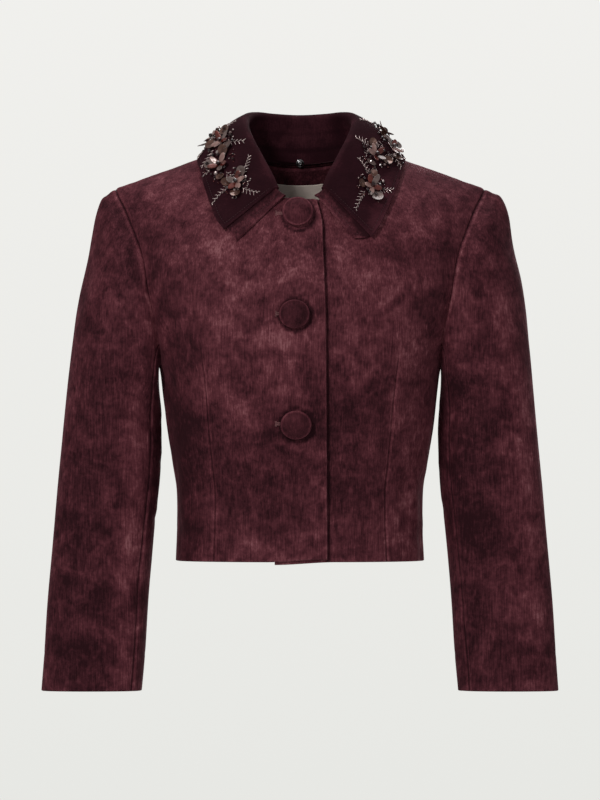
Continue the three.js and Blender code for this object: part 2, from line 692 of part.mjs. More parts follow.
function sleevePoint(side, column, row) {
  const turn = (column * 360) / sleeve.columns;
  if (row >= sleeve.capSteps) {
    const t = (row - sleeve.capSteps) / sleeve.lowerSteps;
    return sleeveRing(side, turn, sleeve.capZ + t * (sleeve.cuffZ - sleeve.capZ));
  }
  const step = (column + sleeve.columns) % sleeve.columns;
  const spot = armholeSpot(side, step);
  const before = armholeSpot(side, (step - 1 + sleeve.columns) % sleeve.columns).point;
  const after = armholeSpot(side, (step + 1) % sleeve.columns).point;
  const outward = spot.normal.clone().cross(after.clone().sub(before)).normalize();
  if (outward.x * side < 0 && step > 1 && step < sleeve.columns - 1) outward.negate();
  if (outward.z < 0 && (step <= 1 || step >= sleeve.columns - 1)) outward.negate();
  const high = (1 - Math.cos(turn * degree)) / 2;
  const start = spot.point.clone();
  const rising = (low, top) => low + (top - low) * high;
  start.addScaledVector(outward, seamGap * rising(sleeveHead.seamOut, sleeveHead.topSeamOut));
  start.addScaledVector(spot.normal, seamGap * rising(sleeveHead.seamLift, sleeveHead.topSeamLift));
  const radial = new THREE.Vector3(0, spot.point.y - sleeveHead.middleY, spot.point.z - sleeveHead.middleZ);
  radial.normalize();
  const sideways = rising(sleeveHead.sideways, sleeveHead.topSideways);
  const spread = rising(sleeveHead.spread, sleeveHead.topSpread)
    - sleeveHead.frontSpread * Math.sin(turn * degree) ** 2;
  const leave = new THREE.Vector3(side * sideways, 0, 0).addScaledVector(radial, spread).normalize();
  const end = sleeveRing(side, turn, sleeve.capZ);
  const below = sleeveRing(side, turn, sleeve.capZ - 10);
  const arrive = end.clone().sub(below).normalize();
  const startReach = rising(sleeveHead.reach, sleeveHead.topReach[side < 0 ? 'right' : 'left']);
  const curve = new THREE.CubicBezierCurve3(
    start,
    start.clone().addScaledVector(leave, startReach),
    end.clone().addScaledVector(arrive, sleeveHead.endReach * start.distanceTo(end)),
    end,
  );
  return curve.getPoint(row / sleeve.capSteps);
}

function sleeveFoldDepth(side, turn, z) {
  let total = 0;
  for (const fold of sleeveFolds) {
    if (fold.side !== side) continue;
    const around = (angle) => angle * millimetresPerTurn;
    total -= fold.depth * troughShape(around(turn), z, around(fold.turn), fold.z,
      around(fold.endTurn), fold.endZ, fold.width);
  }
  return total;
}

function sleeveGrid(side) {
  const rows = sleeve.capSteps + sleeve.lowerSteps;
  const points = [];
  for (let row = 0; row <= rows; row += 1) {
    points.push(Array.from({ length: sleeve.columns }, (_, column) => sleevePoint(side, column, row)));
  }
  const normals = points.map((line, row) => line.map((point, column) => {
    const after = line[(column + 1) % sleeve.columns];
    const before = line[(column - 1 + sleeve.columns) % sleeve.columns];
    const lower = points[Math.min(row + 1, rows)][column];
    const upper = points[Math.max(row - 1, 0)][column];
    const around = after.clone().sub(before);
    return around.cross(lower.clone().sub(upper)).normalize().multiplyScalar(-side);
  }));
  points.forEach((line, row) => line.forEach((point, column) => {
    const turn = (column * 360) / sleeve.columns;
    const hold = fade(0, 3, row);
    point.addScaledVector(normals[row][column], hold * sleeveFoldDepth(side, turn, point.z));
  }));
  return { points, normals };
}

function sliceColumns(grid, from, to) {
  const count = grid.points[0].length;
  const pick = (lines) => lines.map((line) => {
    const out = [];
    for (let column = from; column <= to; column += 1) out.push(line[(column + count) % count].clone());
    return out;
  });
  return { points: pick(grid.points), normals: pick(grid.normals) };
}

function sleevePieces(side) {
  const whole = sleeveGrid(side);
  const top = sliceColumns(whole, sleeve.frontSeam, sleeve.backSeam);
  const under = sliceColumns(whole, sleeve.backSeam - sleeve.columns, sleeve.frontSeam);
  const rows = sleeve.capSteps + sleeve.lowerSteps;
  for (const piece of [top, under]) {
    insetSide(piece, true, 0, rows, seamGap / 2);
    insetSide(piece, false, 0, rows, seamGap / 2);
  }
  return { top, under };
}

// Collar
function neckSpot(turn) {
  const { turn: bodyTurn, level } = necklinePlan(turn);
  const side = Math.sign(turn || 1);
  const extra = (point) => (Math.abs(turn) > 90 ? frontRelief(side, point) : 0);
  return surfaceSpot(bodyTurn, level, extra);
}

function collarBase(turn) {
  const turnStep = 0.5;
  const spot = neckSpot(turn);
  const along = neckSpot(turn + turnStep).point.sub(neckSpot(turn - turnStep).point);
  const inward = spot.normal.clone().cross(along).normalize();
  if (inward.z < 0) inward.negate();
  return spot.point.addScaledVector(inward, seamGap).addScaledVector(spot.normal, seamGap / 2);
}

function rollPoint(turn) {
  const read = (column) => tableValue(rollRows, 'turn', column, Math.abs(turn));
  return new THREE.Vector3(Math.sign(turn || 1) * read('x'), read('y'), read('z'));
}

function liftedTorso(x, y, lift) {
  const { turn, level } = torsoAtPlan(x, y);
  const normal = torsoNormal(turn, level);
  return { point: torsoPoint(turn, level).addScaledVector(normal, lift), normal };
}

function collarProfile(turn) {
  const size = Math.abs(turn);
  const base = collarBase(turn);
  const top = rollPoint(turn);
  const word = turn < 0 ? 'right' : 'left';
  const read = (axis) => tableValue(collarEdgeRows, 'turn', `${word}${axis}`, size);
  const edge = liftedTorso((turn < 0 ? -1 : 1) * read('X'), read('Y'), fall.lift);
  const up = top.clone().sub(base).normalize();
  const out = new THREE.Vector3(edge.point.x - top.x, edge.point.y - top.y, 0).normalize();
  out.addScaledVector(up, -out.dot(up)).normalize();
  const chord = edge.point.clone().sub(top).normalize();
  let chordAngle = Math.atan2(chord.dot(out), chord.dot(up)) / degree;
  if (chordAngle < 0) chordAngle += 360;
  const bulge = tableValue(fallRows, 'turn', 'bulge', size);
  const sweep = clamp(chordAngle - bulge, sweepRange.least, sweepRange.most) * degree;
  const rollAt = (angle) => top.clone()
    .addScaledVector(out, rollRadius * (1 - Math.cos(angle)))
    .addScaledVector(up, rollRadius * Math.sin(angle));
  const start = rollAt(sweep);
  const straight = fade(fall.straightFrom, fall.straightTo, size);
  const leave = up.clone().multiplyScalar(Math.cos(sweep)).addScaledVector(out, Math.sin(sweep));
  leave.lerp(edge.point.clone().sub(start).normalize(), straight).normalize();
  const press = tableValue(fallRows, 'turn', 'press', size);
  const arrive = chord.clone().addScaledVector(edge.normal, chord.dot(edge.normal) * (press - 1)).normalize();
  const reach = fall.reach * start.distanceTo(edge.point);
  const fallCurve = new THREE.CubicBezierCurve3(
    start,
    start.clone().addScaledVector(leave, reach),
    edge.point.clone().addScaledVector(arrive, -reach),
    edge.point,
  );
  return (t) => {
    if (t <= 1) return base.clone().lerp(top, t);
    if (t <= 2) return rollAt((t - 1) * sweep);
    return clearOfTorso(fallCurve.getPoint(Math.min(t - 2, 1)), fall.lift, straight);
  };
}

// Moves a point until it is at least this far outside the body's surface, along the surface's
// normal or, as ahead goes to 1, straight to the front
function clearOfTorso(point, clearance, ahead) {
  for (let round = 0; round < 3; round += 1) {
    const { turn, level } = torsoAtPlan(point.x, point.y);
    const normal = torsoNormal(turn, level);
    const short = clearance - point.clone().sub(torsoPoint(turn, level)).dot(normal);
    if (short > 0) {
      const way = normal.clone().lerp(new THREE.Vector3(0, -1, 0), ahead).normalize();
      point.addScaledVector(way, short / Math.max(way.dot(normal), fall.leastFacing));
    }
  }
  return point;
}

// Point of the folded surface and its normal, which looks into the neck on the stand and out on the fall
function collarSpot(middle, before, after, height) {
  const across = after(height).sub(before(height));
  const lower = middle(Math.max(height - collarHeightStep, 0));
  const upward = middle(Math.min(height + collarHeightStep, 3)).sub(lower);
  return { point: middle(height), normal: across.cross(upward).normalize() };
}

function collarTurn(step) {
  return Math.sign(step) * neckStepTurn(Math.abs(step));
}

function collarGrid(lastStep, firstHeight, endHeight) {
  const heights = [...collarHeights];
  heights[0] = firstHeight;
  heights[heights.length - 1] = endHeight;
  const columns = [];
  for (let step = -lastStep; step <= lastStep; step += 1) {
    const turn = collarTurn(step);
    const middle = collarProfile(turn);
    const before = collarProfile(turn - collarTurnStep);
    const after = collarProfile(turn + collarTurnStep);
    columns.push(heights.map((height) => collarSpot(middle, before, after, height)));
  }
  return gridOf(heights.length - 1, columns.length - 1, (row, column) => columns[column][row]);
}

function clusterHeight(grid, row, column) {
  const point = grid.points[row][column];
  let height = 0;
  for (const cluster of beadClusters) {
    const centre = collarProfile(cluster.turn)(2 + cluster.fall);
    const away = point.distanceTo(centre) / cluster.spread;
    height = Math.max(height, cluster.height * (1 - fade(clusterRim.inner, clusterRim.outer, away)));
  }
  return height;
}

// Buttons and snap are turned shapes
function turnedShape(outline, sides) {
  return new THREE.LatheGeometry(outline.map(([radius, height]) => new THREE.Vector2(radius, height)), sides);
}

const jacket = new THREE.Group();

function addPiece(name, geometry, look) {
  const mesh = new THREE.Mesh(geometry, new THREE.MeshStandardMaterial(look));
  mesh.name = name;
  jacket.add(mesh);
  return mesh;
}

function addBody() {
  addPiece('front_right', wall(frontGrid(-1), 0, -cloth), velvet);
  addPiece('front_left', wall(frontGrid(1), 0, -cloth), velvet);
  const back = backGrid();
  addPiece('back', wall(back, 0, -cloth), velvet);
  return back;
}

function addSleeves() {
  for (const [side, name] of [[-1, 'right'], [1, 'left']]) {
    const { top, under } = sleevePieces(side);
    addPiece(`sleeve_top_${name}`, wall(top, 0, -cloth), velvet);
    addPiece(`sleeve_under_${name}`, wall(under, 0, -cloth), velvet);
  }
}

function addCollars() {
  const lastStep = 2 * neckSteps;
  const under = collarGrid(lastStep, 0, undercollarEnd);
  addPiece('collar_under', wall(under, collarCloth, 0), velvet);
  const over = collarGrid(overcollar.endStep, overcollar.start, 3);
  const low = collarCloth + overcollar.gap;
  const high = (row, column) => low + collarCloth + clusterHeight(over, row, column);
  addPiece('overcollar', wall(over, high, low), darkVelvet);
}

function addNeckPieces(back) {
  const firstRow = panelRows - facing.rows;
  const rows = { points: [], normals: [] };
  for (let row = firstRow; row <= panelRows; row += 1) {
    for (const part of ['points', 'normals']) {
      rows[part].push(back[part][row].slice(facing.firstColumn, facing.lastColumn + 1).map((v) => v.clone()));
    }
  }
  const outer = -cloth - facing.gap;
  insetTop(rows, 0, facing.lastColumn - facing.firstColumn, seamGap);
  addPiece('back_neck_facing', wall(rows, outer, outer - facingCloth), velvet);
  const readAt = (row, column, part) => {
    const low = Math.floor(row);
    const left = Math.floor(column);
    const upper = Math.min(low + 1, panelRows);
    const below = back[part][low][left].clone().lerp(back[part][low][left + 1], column - left);
    const above = back[part][upper][left].clone().lerp(back[part][upper][left + 1], column - left);
    return below.lerp(above, row - low);
  };
  const labelGrid = gridOf(label.rows.length - 1, label.columns.length - 1, (row, column) => ({
    point: readAt(label.rows[row], label.columns[column], 'points'),
    normal: readAt(label.rows[row], label.columns[column], 'normals').normalize(),
  }));
  const labelTop = outer - facingCloth - label.gap;
  addPiece('neck_label', wall(labelGrid, labelTop, labelTop - label.thickness), labelCloth);
}

// Stands a turned shape on a surface, its axis along the surface's normal
function seat(mesh, point, normal) {
  mesh.quaternion.setFromUnitVectors(new THREE.Vector3(0, 1, 0), normal);
  mesh.position.copy(point);
}

function addFastenings() {
  buttons.forEach((button, index) => {
    const level = levelAtHeight(button.z, button.x);
    const turn = Math.sign(button.x) * turnAtX(button.x, level);
    const spot = surfaceSpot(turn, level, (point) => frontRelief(-1, point));
    const geometry = turnedShape(buttonOutline, buttonBody.sides);
    const across = 2 * buttonBody.radius;
    geometry.scale(button.width / across, 1, button.height / across);
    const mesh = addPiece(`button_${index + 1}`, geometry, buttonCloth);
    const down = new THREE.Vector3(0, 0, -1).addScaledVector(spot.normal, spot.normal.z).normalize();
    const tilt = button.tilt * degree;
    const axis = spot.normal.clone().multiplyScalar(Math.cos(tilt)).addScaledVector(down, Math.sin(tilt));
    const lift = seamGap + buttonBody.foot * Math.sin(tilt);
    seat(mesh, spot.point.clone().addScaledVector(spot.normal, lift), axis);
  });
  const beside = [collarProfile(-collarTurnStep), collarProfile(collarTurnStep)];
  const band = collarSpot(collarProfile(0), ...beside, snap.atHeight);
  const outside = 2 * collarCloth + overcollar.gap + snap.gap;
  const mesh = addPiece('snap_cap', turnedShape(snapOutline, snap.sides), snapMetal);
  seat(mesh, band.point.addScaledVector(band.normal, outside), band.normal);
}

const back = addBody();
addSleeves();
addCollars();
addNeckPieces(back);
addFastenings();

export default jacket;
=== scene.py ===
# Cropped velvet jacket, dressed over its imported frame.
# Lengths are in millimetres until a mesh is made. The front faces -Y and +X is the wearer's left.
import math

import bpy
import numpy as np
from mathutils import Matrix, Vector


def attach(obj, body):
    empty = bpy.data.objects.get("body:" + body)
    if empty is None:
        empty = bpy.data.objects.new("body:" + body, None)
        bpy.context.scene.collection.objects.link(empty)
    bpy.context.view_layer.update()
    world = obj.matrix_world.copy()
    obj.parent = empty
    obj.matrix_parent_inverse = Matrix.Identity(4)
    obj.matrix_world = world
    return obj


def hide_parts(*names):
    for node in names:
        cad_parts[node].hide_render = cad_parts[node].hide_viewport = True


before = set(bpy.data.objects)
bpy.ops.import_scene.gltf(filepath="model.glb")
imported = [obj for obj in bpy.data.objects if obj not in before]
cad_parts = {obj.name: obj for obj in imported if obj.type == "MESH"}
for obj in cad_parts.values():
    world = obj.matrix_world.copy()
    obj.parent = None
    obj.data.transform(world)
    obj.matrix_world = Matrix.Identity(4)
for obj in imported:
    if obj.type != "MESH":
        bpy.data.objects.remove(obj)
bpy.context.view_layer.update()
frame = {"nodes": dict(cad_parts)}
mm = 0.001
print("frame loaded:", len(frame["nodes"]), "nodes")


# Small maths on rows of points

def vec(x, y, z):
    return np.stack(np.broadcast_arrays(*(np.asarray(a, float) for a in (x, y, z))), axis=-1)


def unit(v):
    return v / np.maximum(np.linalg.norm(v, axis=-1, keepdims=True), 1e-12)


def dot(a, b):
    return np.sum(a * b, axis=-1, keepdims=True)


def fade(start, end, at):
    t = np.clip((np.asarray(at, float) - start) / (end - start), 0, 1)
    return t * t * (3 - 2 * t)


def bell(away, width):
    return np.exp(-(np.asarray(away, float) / width) ** 2)


def curveThrough(rows, column, at):
    # smooth curve through a table whose first column is the key
    keys = np.array([row[0] for row in rows], float)
    values = np.array([row[column] for row in rows], float)
    slope = np.empty(len(keys))
    slope[1:-1] = (values[2:] - values[:-2]) / (keys[2:] - keys[:-2])
    slope[0] = (values[1] - values[0]) / (keys[1] - keys[0])
    slope[-1] = (values[-1] - values[-2]) / (keys[-1] - keys[-2])
    at = np.clip(np.asarray(at, float), keys[0], keys[-1])
    i = np.clip(np.searchsorted(keys, at) - 1, 0, len(keys) - 2)
    span = keys[i + 1] - keys[i]
    t = (at - keys[i]) / span
    bend = t * t * (3 - 2 * t)
    sway = span * (slope[i] * t * (1 - t) ** 2 - slope[i + 1] * t * t * (1 - t))
    return values[i] * (1 - bend) + values[i + 1] * bend + sway


def finePlaces(last, step, tight, spread=(0.03, 0.07, 0.13, 0.22, 0.36, 0.6)):
    # even places from 0 to last, with close ones beside each place in tight
    places = set(np.round(np.linspace(0, last, int(round(last / step)) + 1), 5))
    for at in tight:
        places.update(round(at + s * sign, 5) for s in (0, *spread) for sign in (-1, 1))
    places = sorted(p for p in places if 0 <= p <= last)
    kept = [places[0]]
    wanted = {0.0, float(last), *(float(at) for at in tight)}
    for place in places[1:]:
        if place - kept[-1] < 0.022 and place not in wanted:
            continue
        kept.append(place)
    return np.array(kept)


# The body's form, from the same tables as the solids

body = {
    "cloth": 2.2, "hemZ": -449, "underarmZ": -232, "ovalPower": 2.4,
    "riseBend": 0.909, "frontBend": 1.2, "backBend": 1.1, "ridgeY": 4,
    "neckX": 80, "neckZ": 5.5, "slope": 0.355, "seamGap": 0.3, "sewn": 0.02, "sideSeamShift": 12,
    "widths": [(0, 137), (0.18, 135.5), (0.36, 136), (0.49, 140.5), (0.63, 145), (0.82, 150.5),
               (1, 156), (1.1, 166), (1.25, 184), (1.5, 200.5), (1.75, 206.5), (2, 209.5)],
    "depths": [(0, 104, 92), (0.18, 103.5, 89), (0.36, 105, 86), (0.49, 108, 87),
               (0.63, 112, 90), (0.82, 117, 95), (1, 120, 98)],
    "armholeFront": [(1, 90), (1.01, 80), (1.05, 73), (1.2, 65.5), (1.38, 61.5), (1.6, 67),
                     (1.8, 74.5), (2, 76.1)],
    "armholeBack": [(1, 90), (1.01, 99), (1.05, 105), (1.2, 111), (1.4, 114), (1.6, 110),
                    (1.8, 104.5), (2, 103.9)],
}
neckline = {"half": 80, "back": 51, "front": 81.5, "end": 163}
closing = {
    "edges": [(-449, 30, 28), (-178, 28, 28), (-100, 25, 28), (-75, 24, 27), (-51, 18, 24)],
    "topZ": {-1: -53, 1: -55}, "sink": body["cloth"] + 0.9, "sinkFull": 34, "sinkClear": 70,
    "lift": 1.2, "liftWidth": 14, "press": 1.2,
    "corner": {-1: 3, 1: -3}, "cornerWidth": 60, "cornerHeight": 120,  # one front hangs lower there
}
dart = {"x": 95, "topZ": -217, "halfWidth": 5, "fading": 26}
steps = {"seam": 10, "armhole": 14, "panel": 24, "topEdge": 3, "neck": 9, "shoulder": 5,
         "front": 17, "back": 28, "fan": 40}

bodyFolds = [  # in front or not, then both ends as x and z, depth, width
    (True, -150, -250, -116, -268, 2.4, 18), (True, 149, -254, 112, -275, 2.0, 18),
    (False, -134, -326, -52, -350, 2.6, 22), (False, 136, -314, 46, -342, 2.8, 24),
    (False, 144, -252, 98, -276, 2.0, 20),
]


def shoulderZ(x):
    away = np.abs(x)
    outer = body["neckZ"] - body["slope"] * (away - body["neckX"])
    inner = body["neckZ"] + body["slope"] * (body["neckX"] ** 2 - away ** 2) / (2 * body["neckX"])
    return np.where(away > body["neckX"], outer, inner)


def halfWidth(level):
    return curveThrough(body["widths"], 1, level)


def torsoPoint(turn, level):
    turn, level = np.radians(turn), np.asarray(level, float)
    power = 2 / body["ovalPower"]
    lean = np.maximum(level - 1, 0) * math.pi / 2
    rise = np.sin(lean) ** body["riseBend"]
    aside, ahead, upright = np.sin(turn), np.cos(turn), np.abs(np.cos(lean))
    x = halfWidth(level) * np.sign(aside) * np.abs(aside) ** power
    front = curveThrough(body["depths"], 1, level) * upright ** body["frontBend"]
    rear = curveThrough(body["depths"], 2, level) * upright ** body["backBend"]
    depth = np.where(ahead > 0, front, rear)
    y = -np.sign(ahead) * depth * np.abs(ahead) ** power + body["ridgeY"] * rise ** 2
    low = body["hemZ"] + (body["underarmZ"] - body["hemZ"]) * level
    high = body["underarmZ"] + rise * (shoulderZ(x) - body["underarmZ"])
    return vec(x, y, np.where(level < 1, low, high))


def torsoNormal(turn, level):
    level = np.asarray(level, float)
    under = np.minimum(level, 1.995)
    across = torsoPoint(turn + 0.2, under) - torsoPoint(turn - 0.2, under)
    upward = torsoPoint(turn, under + 0.004) - torsoPoint(turn, under - 0.004)
    aside = np.clip(torsoPoint(turn, level)[..., 0] / body["neckX"], -1, 1)
    ridge = unit(vec(body["slope"] * aside, 0, 1))
    return np.where((level > 1.995)[..., None], ridge, unit(np.cross(across, upward)))


def turnAtX(x, level):
    share = np.clip((np.abs(x) / halfWidth(level)) ** (body["ovalPower"] / 2), 0, 1)
    return np.degrees(np.arcsin(share))


def levelAtHeight(z, x):
    z = np.asarray(z, float)
    rise = np.clip((z - body["underarmZ"]) / (shoulderZ(x) - body["underarmZ"]), 0, 1)
    high = 1 + np.arcsin(rise ** (1 / body["riseBend"])) / (math.pi / 2)
    low = (z - body["hemZ"]) / (body["underarmZ"] - body["hemZ"])
    return np.where(z < body["underarmZ"], low, high)


def torsoAtPlan(x, y):
    # turn and level of the place on the body above a point of the plan
    x, y = np.broadcast_arrays(np.asarray(x, float), np.asarray(y, float))
    level = np.full(x.shape, 1.6)
    power = 2 / body["ovalPower"]
    for _ in range(60):
        lean = (level - 1) * math.pi / 2
        depthY = y - body["ridgeY"] * np.sin(lean) ** (2 * body["riseBend"])
        ahead = depthY < 0
        turn = turnAtX(x, level)
        depth = np.where(ahead, body["depths"][-1][1], body["depths"][-1][2])
        reach = np.maximum(depth * np.cos(np.radians(turn)) ** power, 1e-9)
        bend = np.where(ahead, body["frontBend"], body["backBend"])
        cosine = np.clip(np.abs(depthY) / reach, 0, 1) ** (1 / bend)
        level = 0.5 * (level + 1 + np.arccos(cosine) / (math.pi / 2))
    return np.where(x < 0, -1, 1) * np.where(ahead, turn, 180 - turn), level


def trough(a, b, fold):
    # 1 on the line of a trough, falling smoothly away from it and past its ends
    startA, startB, endA, endB, _, width = fold
    length = (endA - startA) ** 2 + (endB - startB) ** 2
    near = np.clip(((a - startA) * (endA - startA) + (b - startB) * (endB - startB)) / length, 0, 1)
    away = np.hypot(a - startA - near * (endA - startA), b - startB - near * (endB - startB))
    return bell(away, width) * (0.55 + 0.45 * np.sin(math.pi * near))


def bodyFoldDepth(point):
    x, y, z = (point[..., k] for k in range(3))
    total = np.zeros(x.shape)
    for ahead, *fold in bodyFolds:
        total -= np.where((y < 0) == ahead, fold[4] * trough(x, z, fold), 0)
    return total * fade(4, 34, np.abs(y))


def frontRelief(side, point):
    ownX = side * point[..., 0]
    reach = curveThrough(closing["edges"], 2 if side > 0 else 1, point[..., 2])
    if side > 0:
        return -closing["sink"] * (1 - fade(closing["sinkFull"], closing["sinkClear"], ownX))
    return closing["lift"] * (1 - fade(0, closing["liftWidth"], ownX + reach))


def surfaceSpot(turn, level, extra=None):
    point, normal = torsoPoint(turn, level), torsoNormal(turn, level)
    offset = bodyFoldDepth(point) + (extra(point) if extra else 0)
    return point + normal * np.asarray(offset)[..., None], normal


def evenArmhole(rows):
    places = np.linspace(0, len(rows) - 1, 241)
    table = [(i, turn, level) for i, (level, turn) in enumerate(rows)]
    turn = curveThrough(table, 1, places)
    level = np.minimum(curveThrough(table, 2, places), 2)
    point = torsoPoint(turn, level)
    length = np.concatenate([[0], np.cumsum(np.linalg.norm(np.diff(point, axis=0), axis=1))])

    def at(step):
        along = np.asarray(step, float) / steps["armhole"] * length[-1]
        return np.interp(along, length, turn), np.interp(along, length, level)
    return at


armholeAt = {"front": evenArmhole(body["armholeFront"]), "back": evenArmhole(body["armholeBack"])}


def sideSeam(row):
    level = np.asarray(row, float) / steps["seam"]
    return 90 - body["sideSeamShift"] * (1 - level), level


def necklinePlan(turn):
    turn = np.asarray(turn, float)
    aside = np.sin(np.radians(turn))
    depth = np.where(np.abs(turn) < 90, neckline["back"], neckline["front"])
    plan = depth * np.cos(np.radians(turn)) + body["ridgeY"] * aside ** 2
    return torsoAtPlan(neckline["half"] * aside, plan)


def neckStepTurn(step):
    step = np.asarray(step, float)
    late = 90 + (step - steps["neck"]) * (neckline["end"] - 90) / steps["neck"]
    return np.where(step <= steps["neck"], step * 90 / steps["neck"], late)


def pickPair(mask, one, other):
    return np.where(mask, one[0], other[0]), np.where(mask, one[1], other[1])


class FrontBorders:
    # the four borders of a front, as turn and level

    fan = steps["fan"]

    def __init__(self, side):
        self.layer, self.topZ = (2 if side > 0 else 1), closing["topZ"][side]
        self.neckEnd = necklinePlan(neckline["end"])

    def edge(self, z):
        level = levelAtHeight(z, 0)
        return -turnAtX(curveThrough(closing["edges"], self.layer, z), level), level

    def left(self, row):
        low = body["hemZ"] + row / steps["seam"] * (body["underarmZ"] - body["hemZ"])
        share = (row - steps["seam"]) / steps["armhole"]
        high = body["underarmZ"] + share * (self.topZ - body["underarmZ"])
        return self.edge(np.where(row <= steps["seam"], low, high))

    def right(self, row):
        upper = armholeAt["front"](np.maximum(row - steps["seam"], 0))
        return pickPair(row <= steps["seam"], sideSeam(row), upper)

    def bottom(self, column):
        middle = steps["topEdge"] + steps["neck"] - 1
        reach = closing["edges"][0][self.layer]
        before = dart["x"] - dart["halfWidth"]
        x = -reach + column / (middle - 1) * (before + reach)
        first = np.sign(x) * turnAtX(x, 0)
        inDart = turnAtX(dart["x"] + (column - middle) * dart["halfWidth"], 0)
        start = turnAtX(dart["x"] + dart["halfWidth"], 0)
        share = (column - middle - 1) / (steps["front"] - middle - 1)
        last = start + share * (90 - body["sideSeamShift"] - start)
        turn = np.where(column <= middle - 1, first, np.where(column <= middle + 1, inDart, last))
        return turn, np.zeros(np.shape(column))

    def top(self, column):
        corner = self.edge(np.float64(self.topZ))
        share = column / steps["topEdge"]
        atCorner = tuple(corner[k] + share * (self.neckEnd[k] - corner[k]) for k in (0, 1))
        whole = 2 * steps["neck"]
        neckTurn = neckStepTurn(np.clip(whole - (column - steps["topEdge"]), 0, whole))
        tip = body["armholeFront"][-1][1]
        start = turnAtX(body["neckX"], 2)
        late = (column - steps["topEdge"] - steps["neck"]) / steps["shoulder"]
        atShoulder = (start + late * (tip - start), np.full(np.shape(column), 2.0))
        onNeck = pickPair(column < steps["topEdge"] + steps["neck"], necklinePlan(neckTurn), atShoulder)
        return pickPair(column < steps["topEdge"], atCorner, onNeck)


class BackBorders:
    # the back is laid out by its angle from the centre back

    fan = 0

    def side(self, row, sign):
        upper = armholeAt["back"](np.maximum(row - steps["seam"], 0))
        turn, level = pickPair(row <= steps["seam"], sideSeam(row), upper)
        return sign * (180 - np.abs(turn)), level

    def left(self, row):
        return self.side(row, -1)

    def right(self, row):
        return self.side(row, 1)

    def bottom(self, column):
        half = steps["back"] / 2
        return (column - half) / half * (90 + body["sideSeamShift"]), np.zeros(np.shape(column))

    def top(self, column):
        half = steps["back"] / 2
        sign, away = np.sign(column - half), np.abs(column - half)
        turn, level = necklinePlan(neckStepTurn(np.minimum(away, steps["neck"])))
        start = turnAtX(body["neckX"], 2)
        tip = 180 - body["armholeBack"][-1][1]
        late = (away - steps["neck"]) / steps["shoulder"]
        onNeck = (sign * (180 - np.abs(turn)), level)
        onShoulder = (sign * (start + late * (tip - start)), np.full(np.shape(column), 2.0))
        return pickPair(away < steps["neck"], onNeck, onShoulder)


def blendBorders(borders, columns, row, column):
    up, across = row / steps["panel"], column / columns
    left, right = borders.left(row), borders.right(row)
    bottom, top = borders.bottom(column), borders.top(column)
    ends = [borders.bottom(np.float64(0)), borders.bottom(np.float64(columns)),
            borders.top(np.float64(0)), borders.top(np.float64(columns))]
    mixed = []
    for k in (0, 1):
        corners = (1 - up) * ((1 - across) * ends[0][k] + across * ends[1][k]) \
            + up * ((1 - across) * ends[2][k] + across * ends[3][k])
        mixed.append((1 - across) * left[k] + across * right[k]
                     + (1 - up) * bottom[k] + up * top[k] - corners)
    mixed[0] = mixed[0] + borders.fan * (1 - up) * up ** 4 * np.sin(math.pi * across)
    return mixed[0], np.minimum(mixed[1], 2)


def panelLayout(borders, columns, rowPlaces, columnPlaces, mirror):
    # turn and level over a panel, with the rows of every column spaced by length on the body
    coarse = np.linspace(0, steps["panel"], 4 * steps["panel"] + 1)
    row, column = np.meshgrid(coarse, columnPlaces, indexing="ij")
    turn, level = blendBorders(borders, columns, row, column)
    point = torsoPoint(180 - turn if mirror else turn, level)
    run = np.linalg.norm(np.diff(point, axis=0), axis=2)
    share = np.concatenate([np.zeros((1, len(columnPlaces))), np.cumsum(run, axis=0)])
    share /= share[-1]
    first, last = (np.interp(rowPlaces, coarse, share[:, k]) for k in (0, -1))
    spaced = np.empty((len(rowPlaces), len(columnPlaces)))
    for k, place in enumerate(columnPlaces):
        across = place / columns
        spaced[:, k] = np.interp((1 - across) * first + across * last, share[:, k], coarse)
    column = np.broadcast_to(columnPlaces, spaced.shape)
    return blendBorders(borders, columns, spaced, column)


def insetSide(points, column, beside, rows, distance):
    line = points[:, column]
    along = unit(np.gradient(line, axis=0))
    inward = points[:, beside] - line
    shift = unit(inward - along * dot(inward, along)) * distance
    points[rows, column] = (line + shift)[rows]


def insetTop(points, columns, distance):
    line = points[-1]
    along = unit(np.gradient(line, axis=0))
    inward = points[-2] - line
    shift = unit(inward - along * dot(inward, along)) * distance
    points[-1, columns] = (line + shift)[columns]


# Meshes of cloth

def linked(name, mesh):
    piece = bpy.data.objects.new(name, mesh)
    bpy.context.scene.collection.objects.link(piece)
    return piece


def dressed(name, vertices, faces, flat, rub):
    # a smooth piece with its grain map in metres, by corner, and its painted light and shade, with some
    # brushed nap, at each vertex
    mesh = bpy.data.meshes.new(name)
    mesh.from_pydata((vertices * mm).tolist(), [], faces)
    mesh.polygons.foreach_set("use_smooth", np.ones(len(faces), bool))
    corners = np.empty(len(mesh.loops), int)
    mesh.loops.foreach_get("vertex_index", corners)
    mesh.uv_layers.new(name="grain").data.foreach_set("uv", flat[corners].reshape(-1))
    mesh.attributes.new("rub", "FLOAT", "POINT").data.foreach_set("value", rub)
    mesh.update()
    return linked(name, mesh)


def gridLengths(points):
    across = np.linalg.norm(np.diff(points, axis=1), axis=2)
    upward = np.linalg.norm(np.diff(points, axis=0), axis=2)
    u = np.concatenate([np.zeros((points.shape[0], 1)), np.cumsum(across, axis=1)], axis=1)
    v = np.concatenate([np.zeros((1, points.shape[1])), np.cumsum(upward, axis=0)], axis=0)
    return u, v


def borderLoop(rows, columns):
    at = np.arange(rows * columns).reshape(rows, columns)
    return np.concatenate([at[0, :-1], at[:-1, -1], at[-1, :0:-1], at[:0:-1, 0]])


